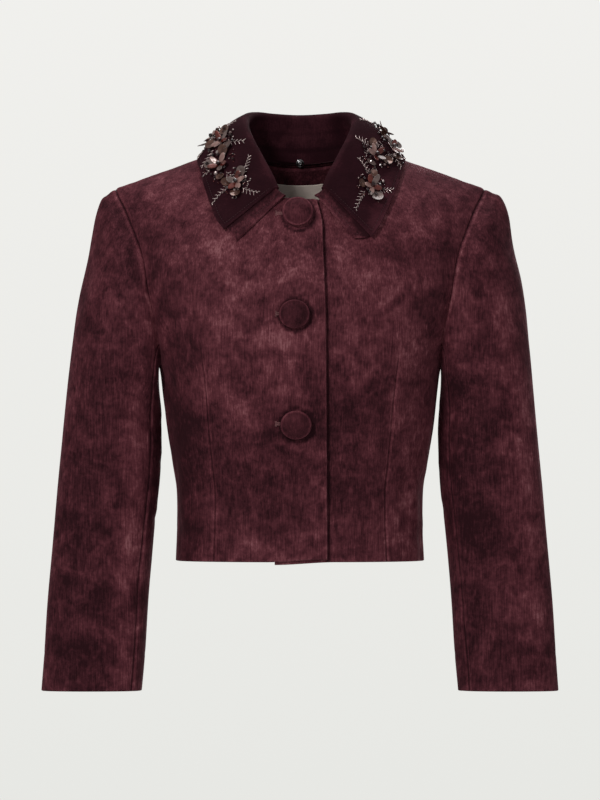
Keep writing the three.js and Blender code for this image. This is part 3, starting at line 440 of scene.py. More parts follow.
def clothShell(name, points, normals, outer, inner, rub, freeSides="", shift=(0, 0)):
    # closed thin wall with rounded free edges and a grain map in metres
    rows, columns = points.shape[:2]
    u, v = gridLengths(points)
    u = u - u[:, columns // 2:columns // 2 + 1]
    out = np.zeros_like(points)
    thick = np.abs(np.asarray(outer - inner, float)) * np.ones((rows, columns))
    whole = slice(None)
    for side, here, beside in (("b", (0, whole), (1, whole)), ("t", (-1, whole), (-2, whole)),
                               ("l", (whole, 0), (whole, 1)), ("r", (whole, -1), (whole, -2))):
        if side in freeSides:
            away = points[here] - points[beside]
            out[here] += unit(away - normals[here] * dot(away, normals[here]))
    bulge = unit(out) * (0.5 * thick)[..., None]
    high = points + normals * np.asarray(outer * np.ones((rows, columns)))[..., None] - bulge
    low = points + normals * np.asarray(inner * np.ones((rows, columns)))[..., None] - bulge
    loop = borderLoop(rows, columns)
    lean = 0.7071  # sine of 45 degrees
    rim = [(high * (0.5 + 0.5 * lean) + low * (0.5 - 0.5 * lean)) + bulge * lean,
           (high + low) / 2 + bulge,
           (high * (0.5 - 0.5 * lean) + low * (0.5 + 0.5 * lean)) + bulge * lean]
    count, around = rows * columns, len(loop)
    vertices = np.concatenate([high.reshape(-1, 3), low.reshape(-1, 3),
                               *(ring.reshape(-1, 3)[loop] for ring in rim)])
    at = np.arange(count).reshape(rows, columns)
    quads = np.stack([at[:-1, :-1], at[:-1, 1:], at[1:, 1:], at[1:, :-1]], axis=-1).reshape(-1, 4)
    rings = [loop, *(2 * count + k * around + np.arange(around) for k in range(3)), loop + count]
    sides = [np.stack([a, b, np.roll(b, -1), np.roll(a, -1)], axis=-1) for a, b in zip(rings, rings[1:])]
    faces = np.concatenate([quads, quads[:, ::-1] + count, *sides])
    corner = vertices[faces]
    volume = np.sum(corner[:, 0] * np.cross(corner[:, 1], corner[:, 2])) \
        + np.sum(corner[:, 0] * np.cross(corner[:, 2], corner[:, 3]))
    if volume < 0:
        faces = faces[:, ::-1]
    flat = np.stack([u + shift[0], v + shift[1]], axis=-1).reshape(-1, 2) * mm
    flat = np.concatenate([flat, flat, *([flat[loop]] * 3)])
    rub = (rub * np.ones((rows, columns))).reshape(-1)
    rub = np.concatenate([rub, rub - 0.35, *([rub[loop] + 0.1] * 3)])  # darker inside, a little lighter round the rounded edge
    return dressed(name, vertices, faces.tolist(), flat, rub)


# Finishes

class Wire:
    # a socket with Python's operators; each one adds a Math node

    def __init__(self, tree, socket):
        self.tree, self.socket = tree, socket

    def maths(self, operation, *values):
        node = self.tree.nodes.new("ShaderNodeMath")
        node.operation = operation
        for place, value in zip(node.inputs, values):
            if isinstance(value, Wire):
                self.tree.links.new(value.socket, place)
            else:
                place.default_value = value
        return Wire(self.tree, node.outputs[0])

    def __add__(self, other):
        return self.maths("ADD", self, other)

    def __sub__(self, other):
        return self.maths("SUBTRACT", self, other)

    def __rsub__(self, other):
        return self.maths("SUBTRACT", other, self)

    def __mul__(self, other):
        return self.maths("MULTIPLY", self, other)

    __radd__, __rmul__ = __add__, __mul__

    def held(self, low=0.0, high=1.0):
        return self.maths("MINIMUM", self.maths("MAXIMUM", self, low), high)


class Finish:
    # one material, or the world, and its nodes

    def __init__(self, name, kind=bpy.data.materials):
        self.material = kind.new(name)
        self.material.use_nodes = True
        self.tree = self.material.node_tree
        self.tree.nodes.clear()

    def node(self, kind, settings=None, values=None, out=0):
        node = self.tree.nodes.new("ShaderNode" + kind)
        for key, value in (settings or {}).items():
            if key == "stops":
                ramp = node.color_ramp
                while len(ramp.elements) < len(value):
                    ramp.elements.new(0.5)
                for stop, (place, colour) in zip(ramp.elements, value):
                    stop.position, stop.color = place, (*colour, 1)
            else:
                setattr(node, key, value)
        for key, value in (values or {}).items():
            if isinstance(value, Wire):
                self.tree.links.new(value.socket, node.inputs[key])
            elif hasattr(value, "__len__") and len(value) == 3 and node.inputs[key].type == "RGBA":
                node.inputs[key].default_value = (*value, 1)
            else:
                node.inputs[key].default_value = value
        return Wire(self.tree, node.outputs[out]) if node.outputs else None

    def objectPlace(self):
        return self.node("TexCoord", out="Object")

    def grainPlace(self, wide, long):
        place = self.node("UVMap", {"uv_map": "grain"})
        return self.node("Mapping", None, {"Vector": place, "Scale": (1 / wide, 1 / long, 1)})

    def noise(self, place, size, detail=2.0, rough=0.5, twist=0.0):
        return self.node("TexNoise", None, {"Vector": place, "Scale": 1 / size, "Detail": detail,
                                            "Roughness": rough, "Distortion": twist})

    def ramp(self, stops, share):
        return self.node("ValToRGB", {"stops": stops}, {"Fac": share}, "Color")

    def bump(self, strength, distance, height):
        values = {"Strength": strength, "Distance": distance, "Height": height}
        return self.node("Bump", None, values, "Normal")

    # the painted light and shade, with some brushed nap, that each piece carries
    def napAndShadeValue(self):
        return self.node("Attribute", {"attribute_name": "rub"}, out="Fac")

    def surface(self, values):
        shader = self.node("BsdfPrincipled", None, values)
        self.node("OutputMaterial", None, {"Surface": shader})
        return self.material


velvetLook = {
    "stops": [(0.0, (0.022, 0.0040, 0.0070)), (0.32, (0.054, 0.0108, 0.0168)),
              (0.62, (0.108, 0.0250, 0.0350)), (0.85, (0.170, 0.0480, 0.0610)),
              (1.0, (0.250, 0.0900, 0.1050))],
    "cloud": 0.040, "blotch": 0.012, "fleck": 0.0042, "pile": 0.0010,
    "streakWide": 0.0013, "streakLong": 0.019, "napAndShadeShare": 0.24,
    "sheen": 0.14, "sheenRoughness": 0.38, "sheenTint": (0.80, 0.26, 0.34), "bump": 0.55,
}


def velvetFinish(name, level=0.0, contrast=1.0):
    look, f = velvetLook, Finish(name)
    place = f.objectPlace()
    cloud = f.noise(place, look["cloud"], 3.0, 0.55, 0.7)
    blotch = f.noise(place, look["blotch"], 4.0, 0.62, 0.4)
    fleck = f.noise(place, look["fleck"], 2.0, 0.6, 0.2)
    pile = f.noise(place, look["pile"], 1.0, 0.5)
    fine, long = 1 / look["streakWide"], 1 / look["streakLong"]
    drawn = f.node("Mapping", None, {"Vector": place, "Scale": (fine, fine, long)})
    streak = f.noise(drawn, 1.0, 3.0, 0.6, 0.3)
    brushed = (cloud - 0.5) * 1.2 + (blotch - 0.5) * 1.0 + (streak - 0.5) * 1.05 + (fleck - 0.5) * 0.5
    # each piece's painted light and shade, with some brushed nap, is mixed into the velvet's tone
    shade = 0.46 + level + brushed * contrast + f.napAndShadeValue() * look["napAndShadeShare"]
    mottle = (shade + (pile - 0.5) * 0.18).held()
    height = blotch * 0.35 + fleck * 0.3 + streak * 0.35 + pile * 0.3
    return f.surface({
        "Base Color": f.ramp(look["stops"], mottle), "Roughness": 0.88 - mottle * 0.26,
        "Normal": f.bump(look["bump"], 0.0009, height),
        "Specular IOR Level": 0.12, "Sheen Weight": look["sheen"],
        "Sheen Roughness": look["sheenRoughness"], "Sheen Tint": (*look["sheenTint"], 1),
    })


finishes = {
    "velvet": velvetFinish("crushed velvet"),
    "buttonVelvet": velvetFinish("button velvet", level=-0.20, contrast=0.7),
}


def collarFinish():
    f = Finish("dark collar cloth")
    place = f.objectPlace()
    cloud = f.noise(place, 0.030, 2.0, 0.5, 0.3)
    nap = f.noise(place, 0.0022, 3.0, 0.6)
    streak = f.noise(f.grainPlace(0.0012, 0.011), 1.0, 2.0, 0.5)
    # each piece's painted light and shade, with some brushed nap, is mixed into the collar's tone
    mix = (0.4 + (cloud - 0.5) * 0.9 + (nap - 0.5) * 0.35 + (streak - 0.5) * 0.3 + f.napAndShadeValue() * 0.25).held()
    stops = [(0.0, (0.010, 0.0024, 0.0042)), (0.5, (0.024, 0.0052, 0.0088)), (1.0, (0.080, 0.0200, 0.0290))]
    return f.surface({
        "Base Color": f.ramp(stops, mix), "Roughness": 0.86 - mix * 0.15,
        "Normal": f.bump(0.4, 0.0005, nap + streak * 0.5),
        "Specular IOR Level": 0.06, "Sheen Weight": 0.06, "Sheen Roughness": 0.35,
        "Sheen Tint": (0.7, 0.28, 0.35, 1),
    })


def labelFinish():
    f = Finish("woven label ribbon")
    place = f.grainPlace(0.001, 0.001)
    ribs, threads = (f.node("TexWave", {"bands_direction": way},
                            {"Vector": place, "Scale": scale, "Distortion": twist}, "Fac")
                     for way, scale, twist in (("Y", 0.85, 0.3), ("X", 0.5, 0.4)))
    soft = f.noise(f.objectPlace(), 0.012, 2.0, 0.5)
    mix = (0.5 + (ribs - 0.5) * 0.35 + (threads - 0.5) * 0.2 + (soft - 0.5) * 0.4).held()
    stops = [(0.0, (0.60, 0.50, 0.45)), (0.55, (0.80, 0.68, 0.61)), (1.0, (0.92, 0.80, 0.73))]
    return f.surface({"Base Color": f.ramp(stops, mix), "Roughness": 0.72 - mix * 0.2,
                      "Normal": f.bump(0.5, 0.0003, ribs + threads * 0.6), "Sheen Weight": 0.1})


def metalFinish():
    f = Finish("dark snap metal")
    wear = f.noise(f.objectPlace(), 0.0018, 3.0, 0.6)
    stops = [(0.0, (0.10, 0.10, 0.105)), (0.6, (0.30, 0.30, 0.31)), (1.0, (0.52, 0.52, 0.54))]
    return f.surface({"Base Color": f.ramp(stops, wear), "Metallic": 1.0, "Roughness": 0.16 + wear * 0.22})


finishes.update(collar=collarFinish(), label=labelFinish(), snap=metalFinish())
print("finishes made:", len(finishes))


# Fronts and back

# a seam's dip and puff, with a painted highlight beside it and painted shade in the dip
seamLook = {"dip": 0.95, "width": 1.5, "puff": 0.30, "puffAt": 4.5, "puffWidth": 2.6,
            "worn": 0.8, "wornAt": 2.0, "wornWidth": 1.8, "dark": 1.6, "darkWidth": 1.0}


def seamRelief(away):
    look = seamLook
    puff = look["puff"] * bell(away - look["puffAt"], look["puffWidth"])
    return puff - look["dip"] * bell(away, look["width"])


# painted highlight beside a seam and painted shade on its line
def seamShadeAndHighlight(away):
    look = seamLook
    worn = look["worn"] * bell(away - look["wornAt"], look["wornWidth"])
    return worn - look["dark"] * bell(away, look["darkWidth"])


hem = {"line": 34, "depth": 0.16}  # the faint line of the turned-up hem, above the edge


def ripples(u, v, seed, size, height, count=7):
    # low uneven waves, the same ones each time
    draw = np.random.default_rng(seed)
    total = np.zeros(np.shape(u))
    for _ in range(count):
        angle, stretch, phase = draw.uniform(-0.5, 0.5), draw.uniform(0.6, 1.7), draw.uniform(0, 6.28)
        wave = 2 * math.pi / (size * stretch)
        total += np.sin(wave * (np.cos(angle) * u + 0.35 * np.sin(angle) * v) + 0.011 * v * stretch + phase)
    return total * height / math.sqrt(count)


buttons = {
    "spots": [(-2.5, -68, 34, 33.5, 7), (-6.1, -178, 33.5, 31, 10), (-4.4, -298, 34.5, 32, 6)],
    "radius": 17, "foot": 4, "sides": 96,
    "profile": [(0.0, 0.0), (3.6, 0.0), (4, 0.4), (4, 2.9), (4.4, 3.2), (10, 3.25), (15.4, 3.5), (16.4, 4.0),
                (16.9, 4.9), (16.95, 5.6), (16.6, 6.3), (15.9, 6.8), (15.0, 7.0), (14.2, 7.05), (13.2, 7.5),
                (11.6, 8.25), (9.4, 9.1), (7.0, 9.75), (4.4, 10.15), (2.0, 10.35), (0.6, 10.4), (0.0, 10.4)],
}
bodyCreases = [  # in front or not, then both ends as x and z, depth, width
    (True, -149, -238, -136, -270, 1.5, 4.5), (True, -141, -246, -118, -292, 0.9, 6),
    (True, -60, -150, -128, -206, 0.9, 15), (True, -30, -402, -108, -378, 0.7, 13),
    (True, -126, -300, -121, -444, 1.1, 6), (True, -112, -360, -108, -430, 0.6, 9),
    (True, -22, -181, -47, -190, 0.7, 5), (True, -20, -300, -44, -296, 0.6, 5),
    (True, 121, -339, 131, -426, 1.5, 5.5), (True, 146, -236, 124, -262, 1.2, 5),
    (True, 60, -232, 84, -180, 0.8, 12), (True, 66, -330, 74, -441, 0.8, 9),
    (True, 112, -300, 120, -356, 0.8, 7), (True, 48, -130, 92, -168, 0.7, 14),
    (True, 102, -96, 150, -128, 0.8, 12), (True, -98, -92, -152, -118, 0.7, 13),
    (False, -2, -88, -72, -132, 0.9, 13), (False, 18, -98, 86, -126, 1.0, 14),
    (False, -62, -198, -130, -234, 1.2, 9), (False, 56, -206, 128, -246, 1.0, 8),
    (False, -18, -331, -78, -316, 0.8, 9), (False, 22, -300, 70, -322, 0.9, 11),
    (False, -86, -358, -90, -446, 0.9, 8), (False, 42, -378, 45, -446, 0.8, 7),
    (False, 104, -352, 99, -440, 0.9, 7), (False, -40, -404, -36, -448, 0.6, 8),
    (False, -140, -244, -118, -290, 1.2, 6), (False, 139, -250, 122, -300, 0.9, 7),
]
# soft patches of painted light and shade on the body, lighter at the chest and darker towards the sides, with
# some brushed nap
bodyNapAndShade = [  # in front or not, middle as x and z, reach in x and z, how much
    (True, -58, -118, 66, 70, 1.1), (True, -20, -215, 40, 45, 0.7), (True, -60, -340, 92, 70, -0.75),
    (True, -134, -350, 26, 130, -1.5), (True, 80, -100, 60, 80, 0.75), (True, 76, -330, 46, 90, -0.5),
    (True, 122, -300, 22, 90, 0.75), (True, 116, -420, 22, 50, 0.7), (True, 96, -190, 46, 40, 0.35),
    (True, -150, -140, 26, 60, -0.5), (True, 150, -150, 26, 70, -0.5), (True, -8, -440, 40, 30, 0.3),
    (True, -120, -30, 70, 22, 0.5), (True, 120, -30, 70, 22, 0.35),
    (False, 40, -120, 70, 60, 0.8), (False, -70, -200, 60, 70, 0.5), (False, 70, -350, 60, 70, -0.6),
    (False, -40, -400, 60, 50, 0.5), (False, -120, -330, 26, 90, -0.8), (False, 120, -250, 26, 70, 0.4),
]


def creaseDepth(a, b, creases):
    # a trough with a low ridge along one side of it
    total = np.zeros(np.shape(a))
    for startA, startB, endA, endB, depth, width in creases:
        length = math.hypot(endA - startA, endB - startB)
        along = ((a - startA) * (endA - startA) + (b - startB) * (endB - startB)) / length
        off = ((b - startB) * (endA - startA) - (a - startA) * (endB - startB)) / length
        off = off + 0.12 * length * np.sin(math.pi * np.clip(along / length, 0, 1))
        ends = fade(-0.25 * length, 0.25 * length, along) * (1 - fade(0.7 * length, 1.15 * length, along))
        total += ends * depth * (0.55 * bell(off - 1.9 * width, 1.3 * width) - bell(off, width))
    return total


# soft oval patches of painted light and shade, with some brushed nap
def spotNapAndShade(a, b, spots):
    total = np.zeros(np.shape(a))
    for middleA, middleB, reachA, reachB, amount in spots:
        total += amount * np.exp(-((a - middleA) / reachA) ** 2 - ((b - middleB) / reachB) ** 2)
    return total


def chosen(rows, key):
    return [row[1:] for row in rows if row[0] == key]


def bodySurface(point, seed):
    # creases and low waves on a body panel; returns the offset and its painted light and shade, with some
    # brushed nap
    x, y, z = (point[..., k] for k in range(3))
    clear = fade(3, 26, np.abs(y))
    offset, rub = np.zeros(x.shape), np.zeros(x.shape)
    for ahead in (True, False):
        here = np.where((y < 0) == ahead, 1.0, 0.0) * clear
        offset += here * creaseDepth(x, z, chosen(bodyCreases, ahead))
        rub += here * spotNapAndShade(x, z, chosen(bodyNapAndShade, ahead))
    u, v = gridLengths(point)
    offset += ripples(u, v, seed, 46, 0.30) + ripples(u, v, seed + 1, 17, 0.09)
    return offset, rub


def frontPanel(side, name):
    middle = steps["topEdge"] + steps["neck"] - 1
    rows = finePlaces(steps["panel"], 0.2, [0, steps["panel"]])
    columns = finePlaces(steps["front"], 0.2, [0, middle, steps["front"]])
    turn, level = panelLayout(FrontBorders(side), steps["front"], rows, columns, False)
    point, normal = surfaceSpot(side * turn, level, lambda at: frontRelief(side, at))
    column = np.broadcast_to(columns, turn.shape)
    fromEdge = column / steps["front"] * closing["cornerWidth"] * 3
    fromHem = point[..., 2] - body["hemZ"]
    point[..., 2] += closing["corner"][side] * (1 - fade(0, closing["cornerWidth"], fromEdge)) \
        * (1 - fade(0, closing["cornerHeight"], fromHem))
    shoulderFrom = steps["front"] - steps["shoulder"]
    insetSide(point, -1, -2, np.flatnonzero(rows <= steps["seam"]), body["sewn"])
    insetTop(point, np.flatnonzero(columns >= shoulderFrom), body["sewn"])
    u, v = gridLengths(point)
    offset, rub = bodySurface(point, 11 if side > 0 else 23)
    dartAway = np.abs(u - u[:, np.argmin(np.abs(columns - middle))][:, None])
    inDart = 1 - fade(dart["topZ"] - dart["fading"], dart["topZ"], point[..., 2])
    offset += inDart * (-0.75 * bell(dartAway, 6) - 0.75 * bell(dartAway, 1.0)
                        + 0.25 * bell(dartAway - 3.4, 2.0))
    # painted shade on the dart's line and a painted highlight beside it
    rub += inDart * (0.9 * bell(dartAway - 2.0, 1.4) - 1.1 * bell(dartAway, 0.9))
    if side < 0:
        closing["line"] = (point[:, 0, 2], point[:, 0, 0])
        # painted shadow round each button, set a little to its lower right, where the nap is crushed too
        for buttonX, buttonZ, wide, _, _ in buttons["spots"]:
            away = np.hypot(point[..., 0] - buttonX - 1.2, point[..., 2] - buttonZ + 1.6)
            rub -= 2.6 * bell(away - wide / 2 - 0.6, 1.9)
    else:
        # the underlap sinks a little where the other front's edge lies on it, with a painted shadow along
        # that edge
        order = np.argsort(closing["line"][0])
        away = point[..., 0] - np.interp(point[..., 2], *(row[order] for row in closing["line"]))
        offset -= closing["press"] * bell(away - 1.5, 1.7)
        rub -= 2.0 * bell(away - 1.3, 1.5)
    fromSide, fromTop = u[:, -1:] - u, v[-1:] - v
    onShoulder = fade(shoulderFrom - 0.4, shoulderFrom, column)
    outer = seamRelief(fromSide) + seamRelief(fromTop) * onShoulder
    rub += seamShadeAndHighlight(fromSide) + seamShadeAndHighlight(fromTop) * onShoulder
    rub += 0.95 * bell(u, 1.9) + 0.6 * bell(fromHem, 1.8) - 0.35 * bell(fromHem - hem["line"], 1.1)
    outer += -hem["depth"] * bell(fromHem - hem["line"], 1.2) - 0.2 * bell(u - 7, 1.4)
    point = point + normal * offset[..., None]
    return clothShell(name, point, normal, outer, -body["cloth"] + 0 * outer, rub, "bl", (900 * side, 0))


backDarts = {"column": 6, "topZ": -235, "fading": 26}


def backPanel():
    half = steps["back"] // 2
    rows = finePlaces(steps["panel"], 0.2, [0, steps["panel"]])
    columns = finePlaces(steps["back"], 0.2, [0, half, steps["back"]])
    turn, level = panelLayout(BackBorders(), steps["back"], rows, columns, True)
    point, normal = surfaceSpot(180 - turn, level)
    column = np.broadcast_to(columns, turn.shape)
    lowRows = np.flatnonzero(rows <= steps["seam"])
    insetSide(point, -1, -2, lowRows, body["sewn"])
    insetSide(point, 0, 1, lowRows, body["sewn"])
    onShoulders = np.abs(columns - half) >= steps["neck"]
    insetTop(point, np.flatnonzero(onShoulders), body["sewn"])
    u, v = gridLengths(point)
    offset, rub = bodySurface(point, 37)
    fromSide, fromTop = np.minimum(u[:, -1:] - u, u), v[-1:] - v
    onShoulder = fade(steps["neck"] - 0.4, steps["neck"], np.abs(column - half))
    outer = seamRelief(fromSide) + seamRelief(fromTop) * onShoulder
    rub += seamShadeAndHighlight(fromSide) + seamShadeAndHighlight(fromTop) * onShoulder
    inDarts = 1 - fade(backDarts["topZ"] - backDarts["fading"], backDarts["topZ"], point[..., 2])
    for line in (-backDarts["column"], backDarts["column"]):
        away = np.abs(u - u[:, np.argmin(np.abs(columns - half - line))][:, None])
        offset += inDarts * (-0.6 * bell(away, 6) - 0.7 * bell(away, 1.1) + 0.2 * bell(away - 3.4, 2.0))
        # painted shade on each dart's line and a painted highlight beside it
        rub += inDarts * (0.7 * bell(away - 2.2, 1.5) - 1.7 * bell(away, 0.9))
    fromHem = point[..., 2] - body["hemZ"]
    rub += 0.5 * bell(fromHem, 1.8) - 0.35 * bell(fromHem - hem["line"], 1.1)
    outer += -hem["depth"] * bell(fromHem - hem["line"], 1.2)
    point = point + normal * offset[..., None]
    return clothShell("backPanel", point, normal, outer, -body["cloth"] + 0 * outer, rub, "b", (2700, 0))


# Sleeves

sleeve = {
    "rows": [(-592, 174, 284.5, -21, 32), (-550, 170.5, 281.5, -18, 34), (-492, 167, 278, -14, 37),
             (-410, 160, 271, -9, 42), (-362, 154.5, 267, -6, 46), (-310, 152, 262, -4, 49)],
    "capZ": -310, "cuffZ": -592, "capSteps": 8, "lowerSteps": 11, "columns": 28,
    "frontSeam": 3, "backSeam": 20, "round": 0.92, "hemLine": 42,
    "headY": 4, "headZ": -130, "seamStart": -0.25, "settle": 4.5, "tone": -0.45,
    "leave": 25, "leaveTop": {-1: 32, 1: 41}, "arrive": 0.42, "aroundPerDegree": 0.9,
}
sleeveFolds = [  # side, then both ends as angle and height, depth, width
    (1, 20, -290, 95, -262, 3.4, 20), (1, 62, -520, 30, -590, 2.4, 20), (1, 250, -410, 320, -380, 3.0, 22),
    (-1, 15, -300, 80, -268, 3.0, 20), (-1, 40, -475, 95, -440, 2.2, 22), (-1, 255, -430, 325, -392, 3.0, 22),
    (-1, 150, -112, 210, -112, 4.2, 46), (1, 150, -102, 210, -102, 3.6, 30),
]
sleeveCreases = [  # the same for the small creases
    (1, 58, -484, 14, -540, 1.1, 3.6), (1, 8, -262, 52, -250, 1.3, 5), (1, 4, -288, 40, -300, 1.1, 5),
    (1, 2, -352, 34, -344, 0.9, 5), (1, -4, -388, 28, -398, 0.8, 6), (1, 66, -330, 120, -300, 0.9, 12),
    (1, 95, -404, 150, -380, 0.8, 11), (1, 80, -180, 128, -150, 0.8, 10), (1, 20, -470, 64, -448, 0.6, 7),
    (1, 268, -300, 318, -280, 1.2, 7), (1, 262, -372, 330, -352, 1.3, 8), (1, 240, -440, 300, -452, 0.9, 9),
    (1, 200, -250, 250, -222, 0.9, 11), (1, 215, -520, 262, -500, 0.8, 9),
    (-1, 6, -258, 46, -246, 1.2, 5), (-1, 2, -296, 38, -306, 1.3, 4.5), (-1, 0, -340, 40, -330, 0.8, 5.5),
    (-1, -6, -402, 26, -394, 0.9, 5), (-1, 70, -352, 126, -326, 0.9, 12), (-1, 62, -430, 118, -452, 0.7, 10),
    (-1, 84, -196, 130, -168, 0.9, 9), (-1, 30, -520, 72, -532, 0.6, 6), (-1, 104, -520, 150, -500, 0.6, 9),
    (-1, 262, -312, 322, -298, 1.1, 7), (-1, 258, -388, 326, -376, 1.2, 9),
    (-1, 232, -462, 296, -444, 0.9, 8),
    (-1, 204, -262, 256, -240, 0.9, 12), (-1, 220, -540, 268, -528, 0.7, 8),
]
# soft patches of painted light and shade on the sleeves, with some brushed nap
sleeveNapAndShade = [  # side, middle as angle and height, reach in mm, how much
    (-1, 58, -410, 15, 160, 1.3), (-1, 66, -300, 18, 60, 0.6), (-1, 112, -420, 36, 190, -0.7),
    (-1, 100, -170, 30, 60, 0.35), (-1, 40, -250, 16, 60, -0.4), (-1, 150, -330, 20, 150, 0.35),
    (1, 132, -330, 22, 190, 1.1), (1, 60, -420, 32, 150, -0.8), (1, 92, -170, 30, 70, 0.5),
    (1, 124, -520, 24, 60, 0.5), (1, 30, -300, 18, 60, -0.4), (1, 88, -560, 30, 40, 0.2),
    (-1, 240, -300, 40, 80, 0.7), (-1, 300, -480, 40, 80, -0.5), (1, 236, -480, 36, 90, 0.7),
    (1, 290, -300, 40, 90, -0.5), (-1, 210, -520, 30, 60, 0.5), (1, 250, -160, 40, 50, 0.5),
]


def sleeveRing(side, turn, z):
    read = [curveThrough(sleeve["rows"], k, z) for k in (1, 2, 3, 4)]
    turn = np.radians(turn)

    def bent(value):
        return np.sign(value) * np.abs(value) ** sleeve["round"]
    x = (read[0] + read[1]) / 2 - (read[1] - read[0]) / 2 * bent(np.cos(turn))
    return vec(side * x, read[2] - read[3] * bent(np.sin(turn)), z)


def armholeSpot(side, step):
    step = np.mod(step, sleeve["columns"])
    front = step <= steps["armhole"]
    turn, level = pickPair(front, armholeAt["front"](np.minimum(step, steps["armhole"])),
                           armholeAt["back"](np.minimum(2 * steps["armhole"] - step, steps["armhole"])))
    point, normal = torsoPoint(side * turn, level), torsoNormal(side * turn, level)
    offset = bodyFoldDepth(point) + np.where(front, frontRelief(side, point), 0)
    return point + normal * offset[..., None], normal


def sleevePoints(side, rows, columns):
    turn = columns * 360 / sleeve["columns"]
    start, normal = armholeSpot(side, columns)
    around = armholeSpot(side, columns + 1)[0] - armholeSpot(side, columns - 1)[0]
    outward = unit(np.cross(normal, around))
    step = np.mod(columns, sleeve["columns"])
    low = (step <= 1) | (step >= sleeve["columns"] - 1)
    wrong = np.where(low, outward[:, 2] < 0, outward[:, 0] * side < 0)
    outward = np.where(wrong[:, None], -outward, outward)
    high = ((1 - np.cos(np.radians(turn))) / 2)[:, None]
    start = start + outward * sleeve["seamStart"]
    radial = unit(vec(0, start[:, 1] - sleeve["headY"], start[:, 2] - sleeve["headZ"]))
    spread = 1 - 0.7 * high - 0.45 * np.sin(np.radians(turn))[:, None] ** 2
    leave = unit(vec(side, 0, 0) * (0.15 + 0.85 * high) + radial * spread)
    end, below = (sleeveRing(side, turn, np.full(turn.shape, float(z)))
                  for z in (sleeve["capZ"], sleeve["capZ"] - 10))
    arrive = unit(end - below)
    reach = sleeve["leave"] + (sleeve["leaveTop"][side] - sleeve["leave"]) * high
    second = start + leave * reach
    third = end + arrive * sleeve["arrive"] * np.linalg.norm(start - end, axis=1)[:, None]
    t = np.clip(rows / sleeve["capSteps"], 0, 1)[:, None, None]
    cap = start * (1 - t) ** 3 + 3 * second * t * (1 - t) ** 2 + 3 * third * t * t * (1 - t) + end * t ** 3
    down = np.clip((rows - sleeve["capSteps"]) / sleeve["lowerSteps"], 0, 1)
    z = sleeve["capZ"] + down * (sleeve["cuffZ"] - sleeve["capZ"])
    ring = sleeveRing(side, *np.broadcast_arrays(turn[None, :], z[:, None]))
    return np.where((rows >= sleeve["capSteps"])[:, None, None], ring, cap)


def sleevePiece(side, name, fromColumn, toColumn, seed):
    last = sleeve["capSteps"] + sleeve["lowerSteps"]
    rows = finePlaces(last, 0.2, [0, last])
    columns = fromColumn + finePlaces(toColumn - fromColumn, 0.2, [0, toColumn - fromColumn])
    wide = np.concatenate([[columns[0] - 0.2], columns, [columns[-1] + 0.2]])
    point = sleevePoints(side, rows, wide)
    across = point[:, 2:] - point[:, :-2]
    point = point[:, 1:-1]
    downward = np.gradient(point, axis=0)
    normal = -side * unit(np.cross(across, downward))
    onBody = (1 - fade(1, 11, gridLengths(point)[1]))[..., None]
    normal = unit(normal * (1 - onBody) + armholeSpot(side, columns)[1] * onBody)
    turn = np.broadcast_to(columns * 360 / sleeve["columns"], point.shape[:2])
    turn = np.where(turn < -20, turn + 360, turn)
    z, scale = point[..., 2], sleeve["aroundPerDegree"]
    hold = fade(0, 3, rows)[:, None]
    folds, creases = ([(a * scale, b, c * scale, d, *rest) for a, b, c, d, *rest in chosen(table, side)]
                      for table in (sleeveFolds, sleeveCreases))
    offset = -sum(fold[4] * trough(turn * scale, z, fold) for fold in folds) * hold
    point = point + normal * offset[..., None]
    insetSide(point, 0, 1, np.arange(len(rows)), body["sewn"])
    insetSide(point, -1, -2, np.arange(len(rows)), body["sewn"])
    spots = [(a * scale, *rest) for a, *rest in chosen(sleeveNapAndShade, side)]
    u, v = gridLengths(point)
    extra = creaseDepth(turn * scale, z, creases) * fade(0, 2, rows)[:, None]
    extra += ripples(u, v, seed, 40, 0.26) + ripples(u, v, seed + 1, 15, 0.08)
    fromSeam, fromHead, fromCuff = np.minimum(u, u[:, -1:] - u), v, v[-1:] - v
    top = np.clip((1 - np.cos(np.radians(turn))) / 2, 0, 1) ** 4
    point[..., 2] -= sleeve["settle"] * bell(fromHead - 9, 8) * top
    outer = seamRelief(fromSeam) * fade(0, 4, fromHead) - 0.9 * bell(fromHead, 1.6) * (1 - 0.8 * top)
    outer += 0.9 * bell(fromHead - 4.0, 2.6) * (1 - 0.8 * top)
    outer += -0.3 * bell(fromCuff - sleeve["hemLine"], 1.3)
    rub = sleeve["tone"] + spotNapAndShade(turn * scale, z, spots) + seamShadeAndHighlight(fromSeam)
    # painted highlight on the puff beside the armhole seam and painted shade on the seam
    rub += 1.5 * bell(fromHead - 2.6, 1.7) - 1.0 * bell(fromHead, 1.0)
    rub += 0.5 * bell(fromCuff, 1.8) - 0.3 * bell(fromCuff - sleeve["hemLine"], 1.1)
    point = point + normal * extra[..., None]
    inner = -body["cloth"] + 0 * outer
    return clothShell(name, point, normal, outer, inner, rub, "t", (side * 1300, seed * 31))


# Collars: a stand up to the roll, a tight roll and a fall down to the outer edge

